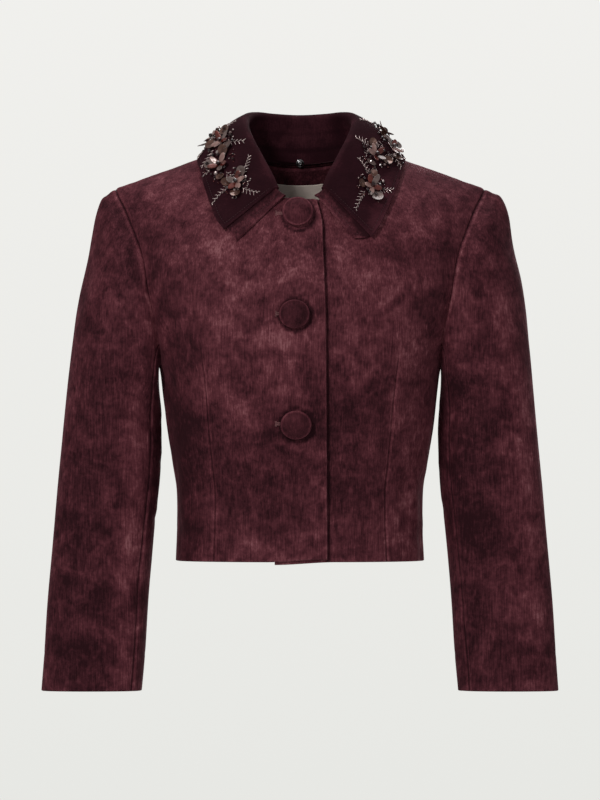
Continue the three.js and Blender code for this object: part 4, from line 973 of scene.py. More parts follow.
roll = {
    "radius": 1.5,
    "line": [(-30, -29, 36.2, 39.8), (0, 0, 44, 38.7), (30, 29, 36.2, 39.8), (50, 45.5, 22.5, 40.8),
             (70, 57, 2, 38.4), (90, 60.5, -18, 30.5), (110, 56, -39.2, 15.5), (130, 45.3, -57.9, -6),
             (147, 33, -70, -29.5), (154.9, 27, -74.3, -43), (163, 17.4, -78.3, -50)],
}
fall = {  # the edge's turn and plan, first on the wearer's right and then on the left
    "lift": 1.2, "reach": 0.35, "ahead": (110, 150),
    "round": [(0, 15), (60, 20), (100, 20), (130, 8), (147, 0), (163, 0)],
    "press": [(0, 0.9), (60, 1.15), (110, 1.15), (147, 1), (163, 1)],
    "edge": [(-30, -50, 58, -50, 58), (0, 0, 66, 0, 66), (30, 50, 58, 50, 58), (60, 94, 33, 95, 33),
             (90, 110.5, -8, 113, -7), (110, 108, -34, 111, -30), (130, 102.7, -55.5, 103.5, -57),
             (147, 92.5, -77.5, 90, -80), (154.9, 82.4, -87, 77.5, -91.5), (163, 71.7, -95, 60.5, -95.8)],
}
collars = {"cloth": 1.8, "gap": 0.4, "underEnd": 2.96, "overStart": 0.06, "overTurn": 90 + 8 * 73 / 9}
edgeStitching = {"underIn": 6.5, "overIn": 5.0, "step": 3.1, "length": 2.3, "width": 0.45}


def neckSpot(turn):
    bodyTurn, level = necklinePlan(turn)
    bodyTurn = np.abs(bodyTurn) * np.where(np.asarray(turn) < 0, -1, 1)
    point, normal = torsoPoint(bodyTurn, level), torsoNormal(bodyTurn, level)
    relief = np.where(point[..., 0] < 0, frontRelief(-1, point), frontRelief(1, point))
    offset = bodyFoldDepth(point) + np.where(np.abs(turn) > 90, relief, 0)
    return point + normal * offset[..., None], normal


def collarFrame(turn):
    # everything of the collar's section at each turn that doesn't depend on the height
    turn = np.asarray(turn, float)
    size, sign = np.abs(turn), np.where(turn < 0, -1, 1)
    spot, normal = neckSpot(turn)
    inward = unit(np.cross(normal, neckSpot(turn + 0.5)[0] - neckSpot(turn - 0.5)[0]))
    inward = np.where((inward[:, 2] < 0)[:, None], -inward, inward)
    base = spot + inward * body["seamGap"] + normal * body["seamGap"] / 2
    rollX, rollY, rollZ = (curveThrough(roll["line"], k, size) for k in (1, 2, 3))
    top = vec(sign * rollX, rollY, rollZ)
    onRight, onLeft = ([curveThrough(fall["edge"], k, size) for k in pair] for pair in ((1, 2), (3, 4)))
    edgeX, edgeY = pickPair(sign < 0, onRight, onLeft)
    atTurn, level = torsoAtPlan(sign * edgeX, edgeY)
    edgeNormal = torsoNormal(atTurn, level)
    edge = torsoPoint(atTurn, level) + edgeNormal * fall["lift"]
    up = unit(top - base)
    out = unit((edge - top) * (1, 1, 0))
    out = unit(out - up * dot(out, up))
    chord = unit(edge - top)
    angle = np.degrees(np.arctan2(dot(chord, out), dot(chord, up)))
    angle = np.where(angle < 0, angle + 360, angle)
    sweep = np.radians(np.clip(angle - curveThrough(fall["round"], 1, size)[:, None], 100, 168))
    start = top + out * roll["radius"] * (1 - np.cos(sweep)) + up * roll["radius"] * np.sin(sweep)
    ahead = fade(*fall["ahead"], size)[:, None]
    leave = unit((up * np.cos(sweep) + out * np.sin(sweep)) * (1 - ahead) + unit(edge - start) * ahead)
    press = curveThrough(fall["press"], 1, size)[:, None]
    arrive = unit(chord + edgeNormal * dot(chord, edgeNormal) * (press - 1))
    reach = fall["reach"] * np.linalg.norm(start - edge, axis=1)[:, None]
    return {"base": base, "top": top, "up": up, "out": out, "sweep": sweep, "start": start,
            "second": start + leave * reach, "third": edge - arrive * reach, "edge": edge, "ahead": ahead}


def clearOfTorso(point, clearance, ahead):
    # towards the front the cloth is moved straight ahead, so that its edges stay straight from there
    for _ in range(3):
        turn, level = torsoAtPlan(point[..., 0], point[..., 1])
        normal = torsoNormal(turn, level)
        short = np.maximum(clearance - dot(point - torsoPoint(turn, level), normal), 0)
        way = unit(normal * (1 - ahead) - np.array([0, 1, 0]) * ahead)
        point = point + way * short / np.maximum(dot(way, normal), 0.3)
    return point


def collarPoints(part, heights):
    # points in rows by height and columns by turn
    t = np.asarray(heights, float)[:, None, None]
    stand = part["base"] + (part["top"] - part["base"]) * np.clip(t, 0, 1)
    angle = np.clip(t - 1, 0, 1) * part["sweep"]
    rolled = part["top"] + part["out"] * roll["radius"] * (1 - np.cos(angle)) \
        + part["up"] * roll["radius"] * np.sin(angle)
    s = np.clip(t - 2, 0, 1)
    fallen = part["start"] * (1 - s) ** 3 + 3 * part["second"] * s * (1 - s) ** 2 \
        + 3 * part["third"] * s * s * (1 - s) + part["edge"] * s ** 3
    late = np.flatnonzero(np.asarray(heights) > 2)
    if len(late):
        fallen[late] = clearOfTorso(fallen[late], fall["lift"], part["ahead"])
    return np.where(t <= 1, stand, np.where(t <= 2, rolled, fallen))


def collarSurface(turns, heights):
    turns, heights = np.atleast_1d(turns).astype(float), np.atleast_1d(heights).astype(float)
    middle = collarFrame(turns)
    after, before = (collarPoints(collarFrame(turns + step), heights) for step in (0.6, -0.6))
    above, below = (collarPoints(middle, np.clip(heights + step, 0, 3)) for step in (0.01, -0.01))
    across, upward = after - before, above - below
    return collarPoints(middle, heights), unit(np.cross(across, upward))


def collarHeights(first, last):
    stand = np.linspace(0, 1, 15)
    turned = np.linspace(1, 2, 13)[1:]
    fallen = 2 + np.array([0.02, 0.05, *np.linspace(0.09, 0.93, 24), 0.955, 0.975, 0.99, 1.0])
    heights = np.concatenate([stand, turned, fallen])
    heights = heights[(heights > first + 0.01) & (heights < last - 0.006)]
    return np.concatenate([[first], heights, [last]])


def collarTurns(end):
    inner = np.linspace(-end, end, 169)
    near = end - np.array([0.25, 0.6, 1.1])
    return np.unique(np.concatenate([inner, near, -near]))


def undercollar():
    turns, heights = collarTurns(neckline["end"]), collarHeights(0, collars["underEnd"])
    point, normal = collarSurface(turns, heights)
    u, v = gridLengths(point)
    fromEnd, fromEdge = np.minimum(u, u[:, -1:] - u), v[-1:] - v
    onFall = fade(1.9, 2.1, heights)[:, None]
    line = np.minimum(fromEdge, fromEnd)
    sewn = bell(line - edgeStitching["underIn"], 0.9) * onFall
    outer = collars["cloth"] + ripples(u, v, 51, 34, 0.12) * onFall - 0.22 * sewn
    outer = outer - 0.18 * bell(line - 10.5, 0.9) * onFall  # the turned-in edge shows through
    # painted shadow on the under-collar just past the over-collar's front edge
    shaded = bell(np.abs(turns)[None, :] - collars["overTurn"] - 0.6, 1.5) * onFall
    rub = -0.45 - 2.4 * shaded + 1.1 * bell(line, 1.8) - 0.5 * sewn - 0.35 * (1 - onFall)
    return clothShell("undercollar", point, normal, outer, 0 * outer, rub, "tlr", (0, 900))


def overcollar():
    turns, heights = collarTurns(collars["overTurn"]), collarHeights(collars["overStart"], 3)
    point, normal = collarSurface(turns, heights)
    low = collars["cloth"] + collars["gap"]
    u, v = gridLengths(point)
    fromEnd, fromEdge = np.minimum(u, u[:, -1:] - u), v[-1:] - v
    height = heights[:, None] + 0 * u
    onFall = fade(1.9, 2.1, height)
    line = np.minimum(fromEdge, fromEnd)
    outer = low + collars["cloth"] + ripples(u, v, 61, 30, 0.10) * onFall
    fromStitches = line - edgeStitching["overIn"]
    outer = outer - 0.16 * bell(fromStitches, 0.8) * onFall
    rub = 0.9 * bell(line, 1.4) - 0.4 * bell(fromStitches, 0.9) * onFall + 0.5 * (1 - onFall)
    rub += 1.1 * bell(turns[None, :] - 142, 26) * fade(2.35, 2.9, height)
    # two soft folds across the stand, each with painted shade in its groove and a painted highlight just
    # above
    for at, depth in ((0.36, 0.20), (0.73, 0.28)):
        away = (height - at) * 42
        outer = outer - 1.6 * depth * bell(away, 0.9) * (height < 1)
        rub = rub + (1.3 * bell(away - 1.2, 0.8) - bell(away, 0.6)) * (height < 1)
    inner = low + 0 * outer
    return clothShell("overcollarCloth", point, normal, outer, inner, rub, "btlr", (0, 1900))


# Facing and label inside the back neck

facing = {"gap": 0.5, "cloth": 1.0, "rows": 4, "first": 7, "last": 21}
label = {"gap": 0.4, "thick": 1.0, "rows": (21.25, 22.8), "columns": (11.9, 16.1)}
labelDepth = body["cloth"] + facing["gap"] + facing["cloth"] + label["gap"]


def backInside(rowPlaces, columnPlaces):
    # the smooth back over a part of its grid, with normals
    turn, level = panelLayout(BackBorders(), steps["back"], rowPlaces, columnPlaces, True)
    return surfaceSpot(180 - turn, level)


def backFacing():
    rows = np.linspace(steps["panel"] - facing["rows"], steps["panel"], 25)
    columns = np.linspace(0, steps["back"], 5 * steps["back"] + 1)
    point, normal = backInside(rows, columns)
    keep = (columns >= facing["first"]) & (columns <= facing["last"])
    point, normal = point[:, keep], normal[:, keep]
    insetTop(point, np.arange(point.shape[1]), body["seamGap"])
    outer = -body["cloth"] - facing["gap"] + np.zeros(point.shape[:2])
    return clothShell("backFacing", point, normal, outer, outer - facing["cloth"], 0.1, "b", (500, 3100))


def neckLabel():
    rows = np.linspace(*label["rows"], 30)
    columns = np.unique(np.concatenate([[0, steps["back"]], np.linspace(*label["columns"], 66)]))
    point, normal = backInside(rows, columns)
    point, normal = point[:, 1:-1], normal[:, 1:-1]
    top = -labelDepth + np.zeros(point.shape[:2])
    u = gridLengths(point)[0]
    fromEnd = np.minimum(u, u[:, -1:] - u)
    low = top - label["thick"] + 0.3 * bell(fromEnd - 3, 0.8)
    return clothShell("neckLabel", point, normal, top, low, 0.0, "btlr", (0, 0))


# Buttons and the snap

snap = {
    "atHeight": 0.1, "gap": 0.5, "sides": 48,
    "profile": [(0.0, 0.0), (4.4, 0.0), (4.5, 0.12), (4.5, 0.5), (4.35, 0.66), (3.9, 0.7),
                (3.6, 0.74), (3.45, 0.95), (3.35, 1.3), (3.0, 1.85), (2.3, 2.2), (1.5, 2.36),
                (0.9, 2.4), (0.7, 2.32), (0.55, 2.1), (0.0, 2.05)],
}


def turned(name, profile, sides, place, axis, wide, tall, wobble=None):
    # a turned shape standing on place, its axis along axis; wide and tall stretch it
    axis = Vector(axis).normalized()
    right = Vector((1, 0, 0)) - axis * axis.x
    right.normalize()
    upward = axis.cross(right) * -1 if axis.y < 0 else axis.cross(right)
    if upward.z < 0:
        upward = -upward
    turn = np.arange(sides) / sides * 2 * math.pi
    vertices, faces = [], []
    for k, (radius, height) in enumerate(profile[1:-1]):
        extra = wobble(turn, radius) if wobble else 0
        x, z, lift = radius * wide * np.cos(turn), radius * tall * np.sin(turn), height + extra + 0 * turn
        ring = np.outer(x, right) + np.outer(z, upward) + np.outer(lift, axis)
        vertices.append(ring + place)
        if k:
            a = (k - 1) * sides + np.arange(sides)
            b = a + sides
            faces += np.stack([a, np.roll(a, -1), np.roll(b, -1), b], axis=-1).tolist()
    vertices = np.concatenate(vertices)
    count = len(vertices)
    foot = np.array(place) + np.array(axis) * profile[0][1]
    crown = np.array(place) + np.array(axis) * profile[-1][1]
    vertices = np.concatenate([vertices, [foot], [crown]])
    last = count - sides
    for k in range(sides):
        after = (k + 1) % sides
        faces.append([after, k, count])
        faces.append([last + k, last + after, count + 1])
    volume = 0
    for face in faces:
        a, b, c = (vertices[face[k]] for k in (0, 1, 2))
        volume += a @ np.cross(b, c) + (a @ np.cross(c, vertices[face[3]]) if len(face) == 4 else 0)
    if volume < 0:
        faces = [face[::-1] for face in faces]
    local = vertices - place
    flat = np.stack([local @ np.array(right), local @ np.array(upward)], axis=-1) * mm
    radius = np.linalg.norm(flat, axis=1) / mm
    # painted highlight round a button's rim, and lighter towards its middle
    rub = 1.5 * bell(radius - 15.8, 0.9) + 0.4 * bell(radius, 7)
    return dressed(name, vertices, faces, flat, rub)


def buttonPlace(x, z, tilt):
    level = levelAtHeight(z, x)
    turn = np.sign(x) * turnAtX(x, level)
    point, normal = surfaceSpot(turn, level, lambda at: frontRelief(-1, at))
    down = unit(np.array([0, 0, -1]) + normal * normal[2])
    tilt = math.radians(tilt)
    axis = normal * math.cos(tilt) + down * math.sin(tilt)
    lift = body["seamGap"] + buttons["foot"] * math.sin(tilt)
    return point + normal * lift, axis


def makeButtons():
    made = []
    for k, (x, z, wide, tall, tilt) in enumerate(buttons["spots"]):
        place, axis = buttonPlace(x, z, tilt)

        def pulled(turn, radius, k=k):
            rim = fade(12, 16.6, radius)
            tucks = 0.16 * np.sin(turn * 11 + k) * np.sin(turn * 4 + 2 * k) * rim
            return tucks + 0.22 * np.sin(turn * 2 + 1.3 * k) * (1 - rim) * min(radius, 9) / 9
        across = 2 * buttons["radius"]
        made.append(turned(f"coveredButton{k + 1}", buttons["profile"], buttons["sides"], place, axis,
                           wide / across, tall / across, pulled))
    return made


def makeSnap():
    point, normal = (a[0, 0] for a in collarSurface(0.0, snap["atHeight"]))
    outside = 2 * collars["cloth"] + collars["gap"] + snap["gap"]
    return turned("snapCap", snap["profile"], snap["sides"], point + normal * outside, normal, 1, 1)


# Sewing and beads

class Tree:
    # a Geometry Nodes tree with named sizes

    def __init__(self, name, sizes):
        self.tree = bpy.data.node_groups.new(name, "GeometryNodeTree")
        sockets = self.tree.interface
        sockets.new_socket("Geometry", in_out="INPUT", socket_type="NodeSocketGeometry")
        self.sizes = []
        for key, value in sizes.items():
            kind = "NodeSocketInt" if isinstance(value, int) else "NodeSocketFloat"
            socket = sockets.new_socket(key, in_out="INPUT", socket_type=kind)
            socket.default_value = value
            self.sizes.append((socket.identifier, value))
        sockets.new_socket("Geometry", in_out="OUTPUT", socket_type="NodeSocketGeometry")
        self.start = self.tree.nodes.new("NodeGroupInput")

    def size(self, key):
        return self.start.outputs[key]

    def node(self, kind, settings=None, values=None, out=0):
        node = self.tree.nodes.new(kind)
        for key, value in (settings or {}).items():
            setattr(node, key, value)
        for key, value in (values or {}).items():
            if isinstance(value, bpy.types.NodeSocket):
                self.tree.links.new(value, node.inputs[key])
            else:
                node.inputs[key].default_value = value
        return node.outputs[out] if node.outputs else None

    def grow(self, name, base, look, instances, smooth):
        whole = self.node("GeometryNodeRealizeInstances", None, {"Geometry": instances})
        shaded = self.node("GeometryNodeSetShadeSmooth", None, {"Geometry": whole, "Shade Smooth": smooth})
        coloured = self.node("GeometryNodeSetMaterial", None,
                             {"Geometry": shaded, "Material": finishes[look]})
        self.node("NodeGroupOutput", None, {"Geometry": coloured})
        modifier = base.modifiers.new("growth", "NODES")
        modifier.node_group = self.tree
        for identifier, value in self.sizes:
            modifier[identifier] = value
        bpy.context.view_layer.update()
        mesh = bpy.data.meshes.new_from_object(base.evaluated_get(bpy.context.evaluated_depsgraph_get()))
        base.modifiers.remove(modifier)
        bpy.data.objects.remove(base)
        mesh.name = name
        return linked(name, mesh)


def guide(name, points, edges=(), vectors=None):
    mesh = bpy.data.meshes.new(name)
    mesh.from_pydata((np.asarray(points) * mm).tolist(), [tuple(edge) for edge in edges], [])
    for key, rows in (vectors or {}).items():
        place = mesh.attributes.new(key, "FLOAT_VECTOR", "POINT")
        place.data.foreach_set("vector", np.asarray(rows, float).reshape(-1))
    return linked(name, mesh)


def thread(tree):
    return tree.node("GeometryNodeMeshUVSphere", None, {"Segments": 6, "Rings": 4, "Radius": 1.0}, "Mesh")


def stitched(name, paths, look, step, length, width):
    # evenly spaced stitches along open lines of points
    points, edges = [], []
    for path in paths:
        edges += [(len(points) + k, len(points) + k + 1) for k in range(len(path) - 1)]
        points += list(path)
    tree = Tree(name, {"Stitch Step": step * mm, "Stitch Length": length * mm, "Thread Width": width * mm})
    curve = tree.node("GeometryNodeMeshToCurve", None, {"Mesh": tree.start.outputs["Geometry"]})
    even = tree.node("GeometryNodeResampleCurve", {"mode": "LENGTH"},
                     {"Curve": curve, "Length": tree.size("Stitch Step")})
    turn = tree.node("FunctionNodeAlignRotationToVector", {"axis": "X"},
                     {"Vector": tree.node("GeometryNodeInputTangent")})
    half = {"operation": "MULTIPLY"}
    long = tree.node("ShaderNodeMath", half, {0: tree.size("Stitch Length"), 1: 0.5})
    wide = tree.node("ShaderNodeMath", half, {0: tree.size("Thread Width"), 1: 0.5})
    scale = tree.node("ShaderNodeCombineXYZ", None, {"X": long, "Y": wide, "Z": wide})
    rows = tree.node("GeometryNodeInstanceOnPoints", None,
                     {"Points": even, "Instance": thread(tree), "Rotation": turn, "Scale": scale})
    return tree.grow(name, guide(name + "Line", points, edges), look, rows, True)


def scattered(name, spots, look, shape, smooth=True, size=1.0):
    # one shape on every spot; a spot is its place, facing, direction and three lengths in mm
    place, facing, along, lengths = (np.array([spot[k] for spot in spots], float) for k in range(4))
    tree = Tree(name, {"Size": size})

    def read(key):
        return tree.node("GeometryNodeInputNamedAttribute", {"data_type": "FLOAT_VECTOR"}, {"Name": key})
    turn = tree.node("FunctionNodeAxesToRotation", {"primary_axis": "Z", "secondary_axis": "X"},
                     {"Primary Axis": read("facing"), "Secondary Axis": read("along")})
    scale = tree.node("ShaderNodeVectorMath", {"operation": "SCALE"},
                      {0: read("lengths"), "Scale": tree.size("Size")})
    rows = tree.node("GeometryNodeInstanceOnPoints", None,
                     {"Points": tree.start.outputs["Geometry"], "Instance": shape(tree),
                      "Rotation": turn, "Scale": scale})
    base = guide(name + "Spots", place, (), {"facing": facing, "along": along, "lengths": lengths * mm})
    return tree.grow(name, base, look, rows, smooth)


def cupped(tree, mesh, rise):
    # bends a flat shape up towards its ends
    split = tree.node("ShaderNodeSeparateXYZ", None, {0: tree.node("GeometryNodeInputPosition")})
    squares = [tree.node("ShaderNodeMath", {"operation": "MULTIPLY"}, {0: side, 1: side})
               for side in split.node.outputs[:2]]
    total = tree.node("ShaderNodeMath", {"operation": "ADD"}, {0: squares[0], 1: squares[1]})
    lift = tree.node("ShaderNodeMath", {"operation": "MULTIPLY"}, {0: total, 1: rise})
    offset = tree.node("ShaderNodeCombineXYZ", None, {"Z": lift})
    return tree.node("GeometryNodeSetPosition", None, {"Geometry": mesh, "Offset": offset})


def paillette(tree):
    disc = tree.node("GeometryNodeMeshCylinder", {"fill_type": "TRIANGLE_FAN"},
                     {"Vertices": 16, "Radius": 0.5, "Depth": 0.06}, "Mesh")
    return cupped(tree, disc, 0.5)


def petal(tree):
    leaf = tree.node("GeometryNodeMeshUVSphere", None, {"Segments": 10, "Rings": 6, "Radius": 0.5}, "Mesh")
    return cupped(tree, leaf, 1.6)


def facetBead(tree):
    return tree.node("GeometryNodeMeshIcoSphere", None, {"Radius": 0.5, "Subdivisions": 1}, "Mesh")


def seedBead(tree):
    return tree.node("GeometryNodeMeshUVSphere", None, {"Segments": 7, "Rings": 4, "Radius": 0.5}, "Mesh")


def beadFinish(name, low, high, roughness, metallic=0.0, coat=0.0, size=0.0035):
    f = Finish(name)
    place = f.objectPlace()
    tone = (f.noise(place, size, 1.0, 0.5) * 1.5 - 0.25).held()
    wear = f.noise(place, 0.0009, 2.0, 0.6)
    stops = [(0.0, low), (0.5, tuple((a + b) / 2.4 for a, b in zip(low, high))), (1.0, high)]
    return f.surface({"Base Color": f.ramp(stops, tone), "Metallic": metallic,
                      "Roughness": roughness + wear * 0.12, "Coat Weight": coat, "Coat Roughness": 0.06})


finishes.update(
    thread=beadFinish("sewing thread", (0.030, 0.006, 0.010), (0.075, 0.018, 0.026), 0.6),
    lightThread=beadFinish("buttonhole thread", (0.22, 0.075, 0.085), (0.42, 0.19, 0.20), 0.6),
    bronze=beadFinish("bronze paillette", (0.055, 0.018, 0.012), (0.26, 0.13, 0.10), 0.18, 0.55, 0.5, 0.009),
    rose=beadFinish("rose petal", (0.19, 0.08, 0.075), (0.48, 0.30, 0.27), 0.30, 0.1, 0.3, 0.008),
    rust=beadFinish("rust petal", (0.05, 0.006, 0.005), (0.22, 0.032, 0.020), 0.22, 0.2, 0.5, 0.007),
    greyRose=beadFinish("grey rose petal", (0.08, 0.05, 0.045), (0.27, 0.19, 0.18), 0.28, 0.25, 0.4, 0.008),
    jet=beadFinish("jet bead", (0.006, 0.003, 0.004), (0.040, 0.008, 0.012), 0.07, 0.3, 0.8, 0.005),
    crystal=beadFinish("crystal bead", (0.20, 0.10, 0.10), (0.75, 0.62, 0.60), 0.08, 0.6, 0.8, 0.003),
    garnet=beadFinish("garnet bead", (0.035, 0.004, 0.006), (0.16, 0.020, 0.022), 0.10, 0.25, 0.8, 0.004),
    bugle=beadFinish("pale bugle bead", (0.42, 0.27, 0.27), (0.80, 0.66, 0.64), 0.16, 0.5, 0.5, 0.004),
)


def collarSpots(turns, heights, lift):
    # places on the collars' outer side, one for each pair of turn and height
    point, normal = collarSurface(turns, heights)
    k = np.arange(len(turns))
    return point[k, k] + normal[k, k] * lift, normal[k, k]


def collarLine(end, last, inset, lift):
    # a line inside the collar's free edges, from one front edge round the outer edge to the other
    frame = collarFrame(np.array([end]))
    fallen = np.linalg.norm(frame["edge"] - frame["start"], axis=1)[0]
    beside = collarPoints(collarFrame(np.array([end - 3, end])), [2.6])[0]
    side = end - inset / (np.linalg.norm(beside[1] - beside[0]) / 3)
    turns = np.linspace(-side, side, 150)
    near = collarFrame(turns)
    low = last - inset / np.linalg.norm(near["edge"] - near["start"], axis=1)
    rise = np.linspace(2.08, last - inset / fallen, 26)[:-1]
    turns = np.concatenate([np.full(25, -side), turns, np.full(25, side)])
    return collarSpots(turns, np.concatenate([rise, low, rise[::-1]]), lift)[0]


def collarStitches():
    look = edgeStitching
    under = collarLine(neckline["end"], collars["underEnd"], look["underIn"], collars["cloth"] - 0.1)
    over = collarLine(collars["overTurn"], 3, look["overIn"], 2 * collars["cloth"] + collars["gap"] - 0.08)
    return [stitched(name, [line], "thread", look["step"], look["length"], look["width"])
            for name, line in (("underCollarStitches", under), ("overCollarStitches", over))]


buttonholes = {"left": -25.5, "right": -17, "step": 0.75, "half": 1.9, "bar": 2.6, "thread": 0.55}


def frontSpot(x, z):
    level = levelAtHeight(z, x)
    return (a for a in surfaceSpot(np.sign(x) * turnAtX(x, level), level, lambda at: frontRelief(-1, at)))


def buttonholeStitches():
    look, spots = buttonholes, []
    thin = look["thread"] / 2
    for _, z, _, _, _ in buttons["spots"]:
        for x in np.arange(look["left"], look["right"], look["step"]):
            for side in (-1, 1):
                place, normal = frontSpot(x, z + side * look["half"] / 2)
                spots.append((place + normal * 0.12, normal, (0.12 * side, 0, 1),
                              (look["half"] * 0.55, thin, thin)))
        for k in np.linspace(-1, 1, 6):
            place, normal = frontSpot(look["left"] - 0.6, z + k * look["bar"])
            spots.append((place + normal * 0.2, normal, (1, 0, 0.1 * k), (1.3, thin, thin)))
    return scattered("buttonholeStitches", spots, "lightThread", thread)


def labelStitches():
    lines = []
    for column in (label["columns"][0] + 0.22, label["columns"][1] - 0.22):
        rows = np.linspace(label["rows"][0] + 0.1, label["rows"][1] - 0.1, 12)
        point, normal = backInside(rows, np.array([0, column, steps["back"]]))
        lines.append((point - normal * (labelDepth + label["thick"] + 0.1))[:, 1])
    return stitched("labelStitches", lines, "thread", 2.4, 1.7, 0.4)


beading = {
    "seed": 12, "surface": 2 * collars["cloth"] + collars["gap"],
    "clusters": [  # turn, share of the fall, size, lean in degrees
        (-86, 0.60, 0.95, 60), (-104, 0.44, 1.05, 150), (-121, 0.62, 1.15, 20), (-139, 0.48, 0.95, 250),
        (82, 0.50, 0.9, 200), (98, 0.68, 1.15, 110), (118, 0.47, 1.1, 300), (137, 0.62, 1.0, 30)],
    "petals": 5, "petalAt": 6.2, "petalLong": 12.5, "petalWide": 7.0, "petalThick": 1.1, "petalTilt": 24,
    "discs": 3, "discAt": 13.5, "discWide": 11.5, "discTilt": 26,
    "facets": 11, "facetFrom": 7.5, "facetTo": 16, "facetSize": 4.2, "heart": 5.4,
    "seeds": 36, "seedSize": 2.1, "reach": 19,
    "sprigs": 3, "sprigFrom": 11, "sprigLong": 24, "sideBugles": 6, "bugleLong": 5.2, "bugleWide": 0.9,
}


def beads():
    # flowers of petals, discs and beads with sprigs between them; each spot is kept under its finish
    look, draw = beading, np.random.default_rng(beading["seed"])
    plan = []  # finish, turn, height, lift, angle, tilt, lengths
    for turn, fallen, size, lean in look["clusters"]:
        heights = [2 + fallen - 0.02, 2 + fallen, 2 + fallen + 0.02]
        around = collarSurface([turn - 1, turn, turn + 1], heights)[0]
        perTurn = np.linalg.norm(around[1, 2] - around[1, 0]) / 2
        perFall = np.linalg.norm(around[2, 1] - around[0, 1]) / 0.04
        across, down = unit(around[1, 2] - around[1, 0]), unit(around[2, 1] - around[0, 1])
        rows = []

        def add(finish, radius, angle, lift, aim, tilt, lengths):
            dx, dy = radius * math.cos(angle) * size, radius * math.sin(angle) * size
            rows.append((finish, turn + dx / perTurn, 2 + fallen + dy / perFall, lift, aim, tilt, lengths))

        first = math.radians(lean)
        for k in range(look["petals"]):
            angle = first + k * 2 * math.pi / look["petals"] + draw.uniform(-0.25, 0.25)
            long = look["petalLong"] * draw.uniform(0.85, 1.15)
            tilt = math.radians(look["petalTilt"] + draw.uniform(-10, 14))
            finish = ("rose", "rust", "greyRose", "rust", "rose")[k % 5]
            add(finish, look["petalAt"], angle, 1.4 + long / 2 * math.sin(tilt), angle, tilt,
                (long, look["petalWide"] * draw.uniform(0.85, 1.1), look["petalThick"]))
        for k in range(look["discs"]):
            angle = first + 0.7 + k * 2 * math.pi / look["discs"] + draw.uniform(-0.4, 0.4)
            wide = look["discWide"] * draw.uniform(0.8, 1.15)
            tilt = math.radians(look["discTilt"] * draw.uniform(0.3, 1.2))
            lift = 1.0 + wide / 2 * math.sin(tilt)
            add("bronze" if k else "greyRose", look["discAt"], angle, lift, angle, tilt,
                (wide, wide, wide * 0.8))
        add("jet", 0, 0, 5.0, first, 0, (look["heart"],) * 3)
        for k in range(look["facets"]):
            angle = first + k * 2 * math.pi / look["facets"] + draw.uniform(-0.3, 0.3)
            wide = look["facetSize"] * draw.uniform(0.75, 1.1)
            add("jet" if k % 4 else "crystal", draw.uniform(look["facetFrom"], look["facetTo"]), angle,
                wide * 0.5 + draw.uniform(0, 2.2), draw.uniform(0, 6.28), 0.2, (wide,) * 3)
        for k in range(look["seeds"]):
            wide = look["seedSize"] * draw.uniform(0.8, 1.1)
            finish = ("garnet", "jet", "garnet", "crystal")[k % 4]
            add(finish, look["reach"] * math.sqrt(draw.uniform(0.08, 1)), draw.uniform(0, 6.28),
                wide * 0.45, draw.uniform(0, 6.28), 0, (wide, wide, wide * 0.85))
        for k in range(look["sprigs"]):
            way = first + (k + 0.5) * 2 * math.pi / look["sprigs"] + draw.uniform(-0.35, 0.35)
            long = look["sprigLong"] * draw.uniform(0.8, 1.1)
            count, thin = look["sideBugles"], look["bugleWide"]
            for step in range(count):
                at = look["sprigFrom"] + long * (step + 0.5) / count
                bend = way + 0.012 * (at - look["sprigFrom"])
                add("bugle", at, bend, 0.5, bend, 0, (long / count * 0.8, thin, thin))
                for side in (-1, 1):
                    reach = look["bugleLong"] * (1 - 0.35 * step / count)
                    aim = bend + side * 0.75
                    dx, dy = (at * math.cos(bend) + reach * 0.55 * math.cos(aim),
                              at * math.sin(bend) + reach * 0.55 * math.sin(aim))
                    add("bugle", math.hypot(dx, dy), math.atan2(dy, dx), 0.5, aim, 0, (reach, thin, thin))
        rows = [row for row in rows if 2.04 < row[2] < 2.97 and abs(row[1]) < collars["overTurn"] - 3]
        place, normal = collarSpots(np.array([r[1] for r in rows]), np.array([r[2] for r in rows]), 0)
        for (finish, _, _, lift, aim, tilt, lengths), spot, up in zip(rows, place, normal):
            along = unit(across * math.cos(aim) + down * math.sin(aim))
            along = unit(along - up * dot(along, up))
            plan.append((finish, spot + up * (look["surface"] + lift),
                         up * math.cos(tilt) - along * math.sin(tilt),
                         along * math.cos(tilt) + up * math.sin(tilt), lengths))
    # each shape with its shading and the lengths that it is for
    shapes = {"petals": (petal, True, lambda s: s[2] < 1.2 and s[1] > 4),
              "discs": (paillette, False, lambda s: s[0] > 7),
              "beads": (facetBead, False, lambda s: s[0] > 2.6), "seeds": (seedBead, True, lambda s: True)}
    made = []
    for finish in ("rose", "rust", "greyRose", "bronze", "jet", "crystal", "garnet", "bugle"):
        spots = [row[1:] for row in plan if row[0] == finish]
        for word, (shape, smooth, fits) in shapes.items():
            if finish == "bugle" and word != "seeds":
                continue
            chosenSpots = [spot for spot in spots if fits(spot[3])]
            spots = [spot for spot in spots if not fits(spot[3])]
            if chosenSpots:
                made.append(scattered(f"{finish}{word.capitalize()}", chosenSpots, finish, shape, smooth))
    return made


def finished(piece, look, nodes):
    if look:
        piece.data.materials.append(finishes[look])
    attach(piece, "root")
    if nodes:
        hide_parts(*nodes)
    print(piece.name, "triangles:", sum(len(p.vertices) - 2 for p in piece.data.polygons))
    return piece


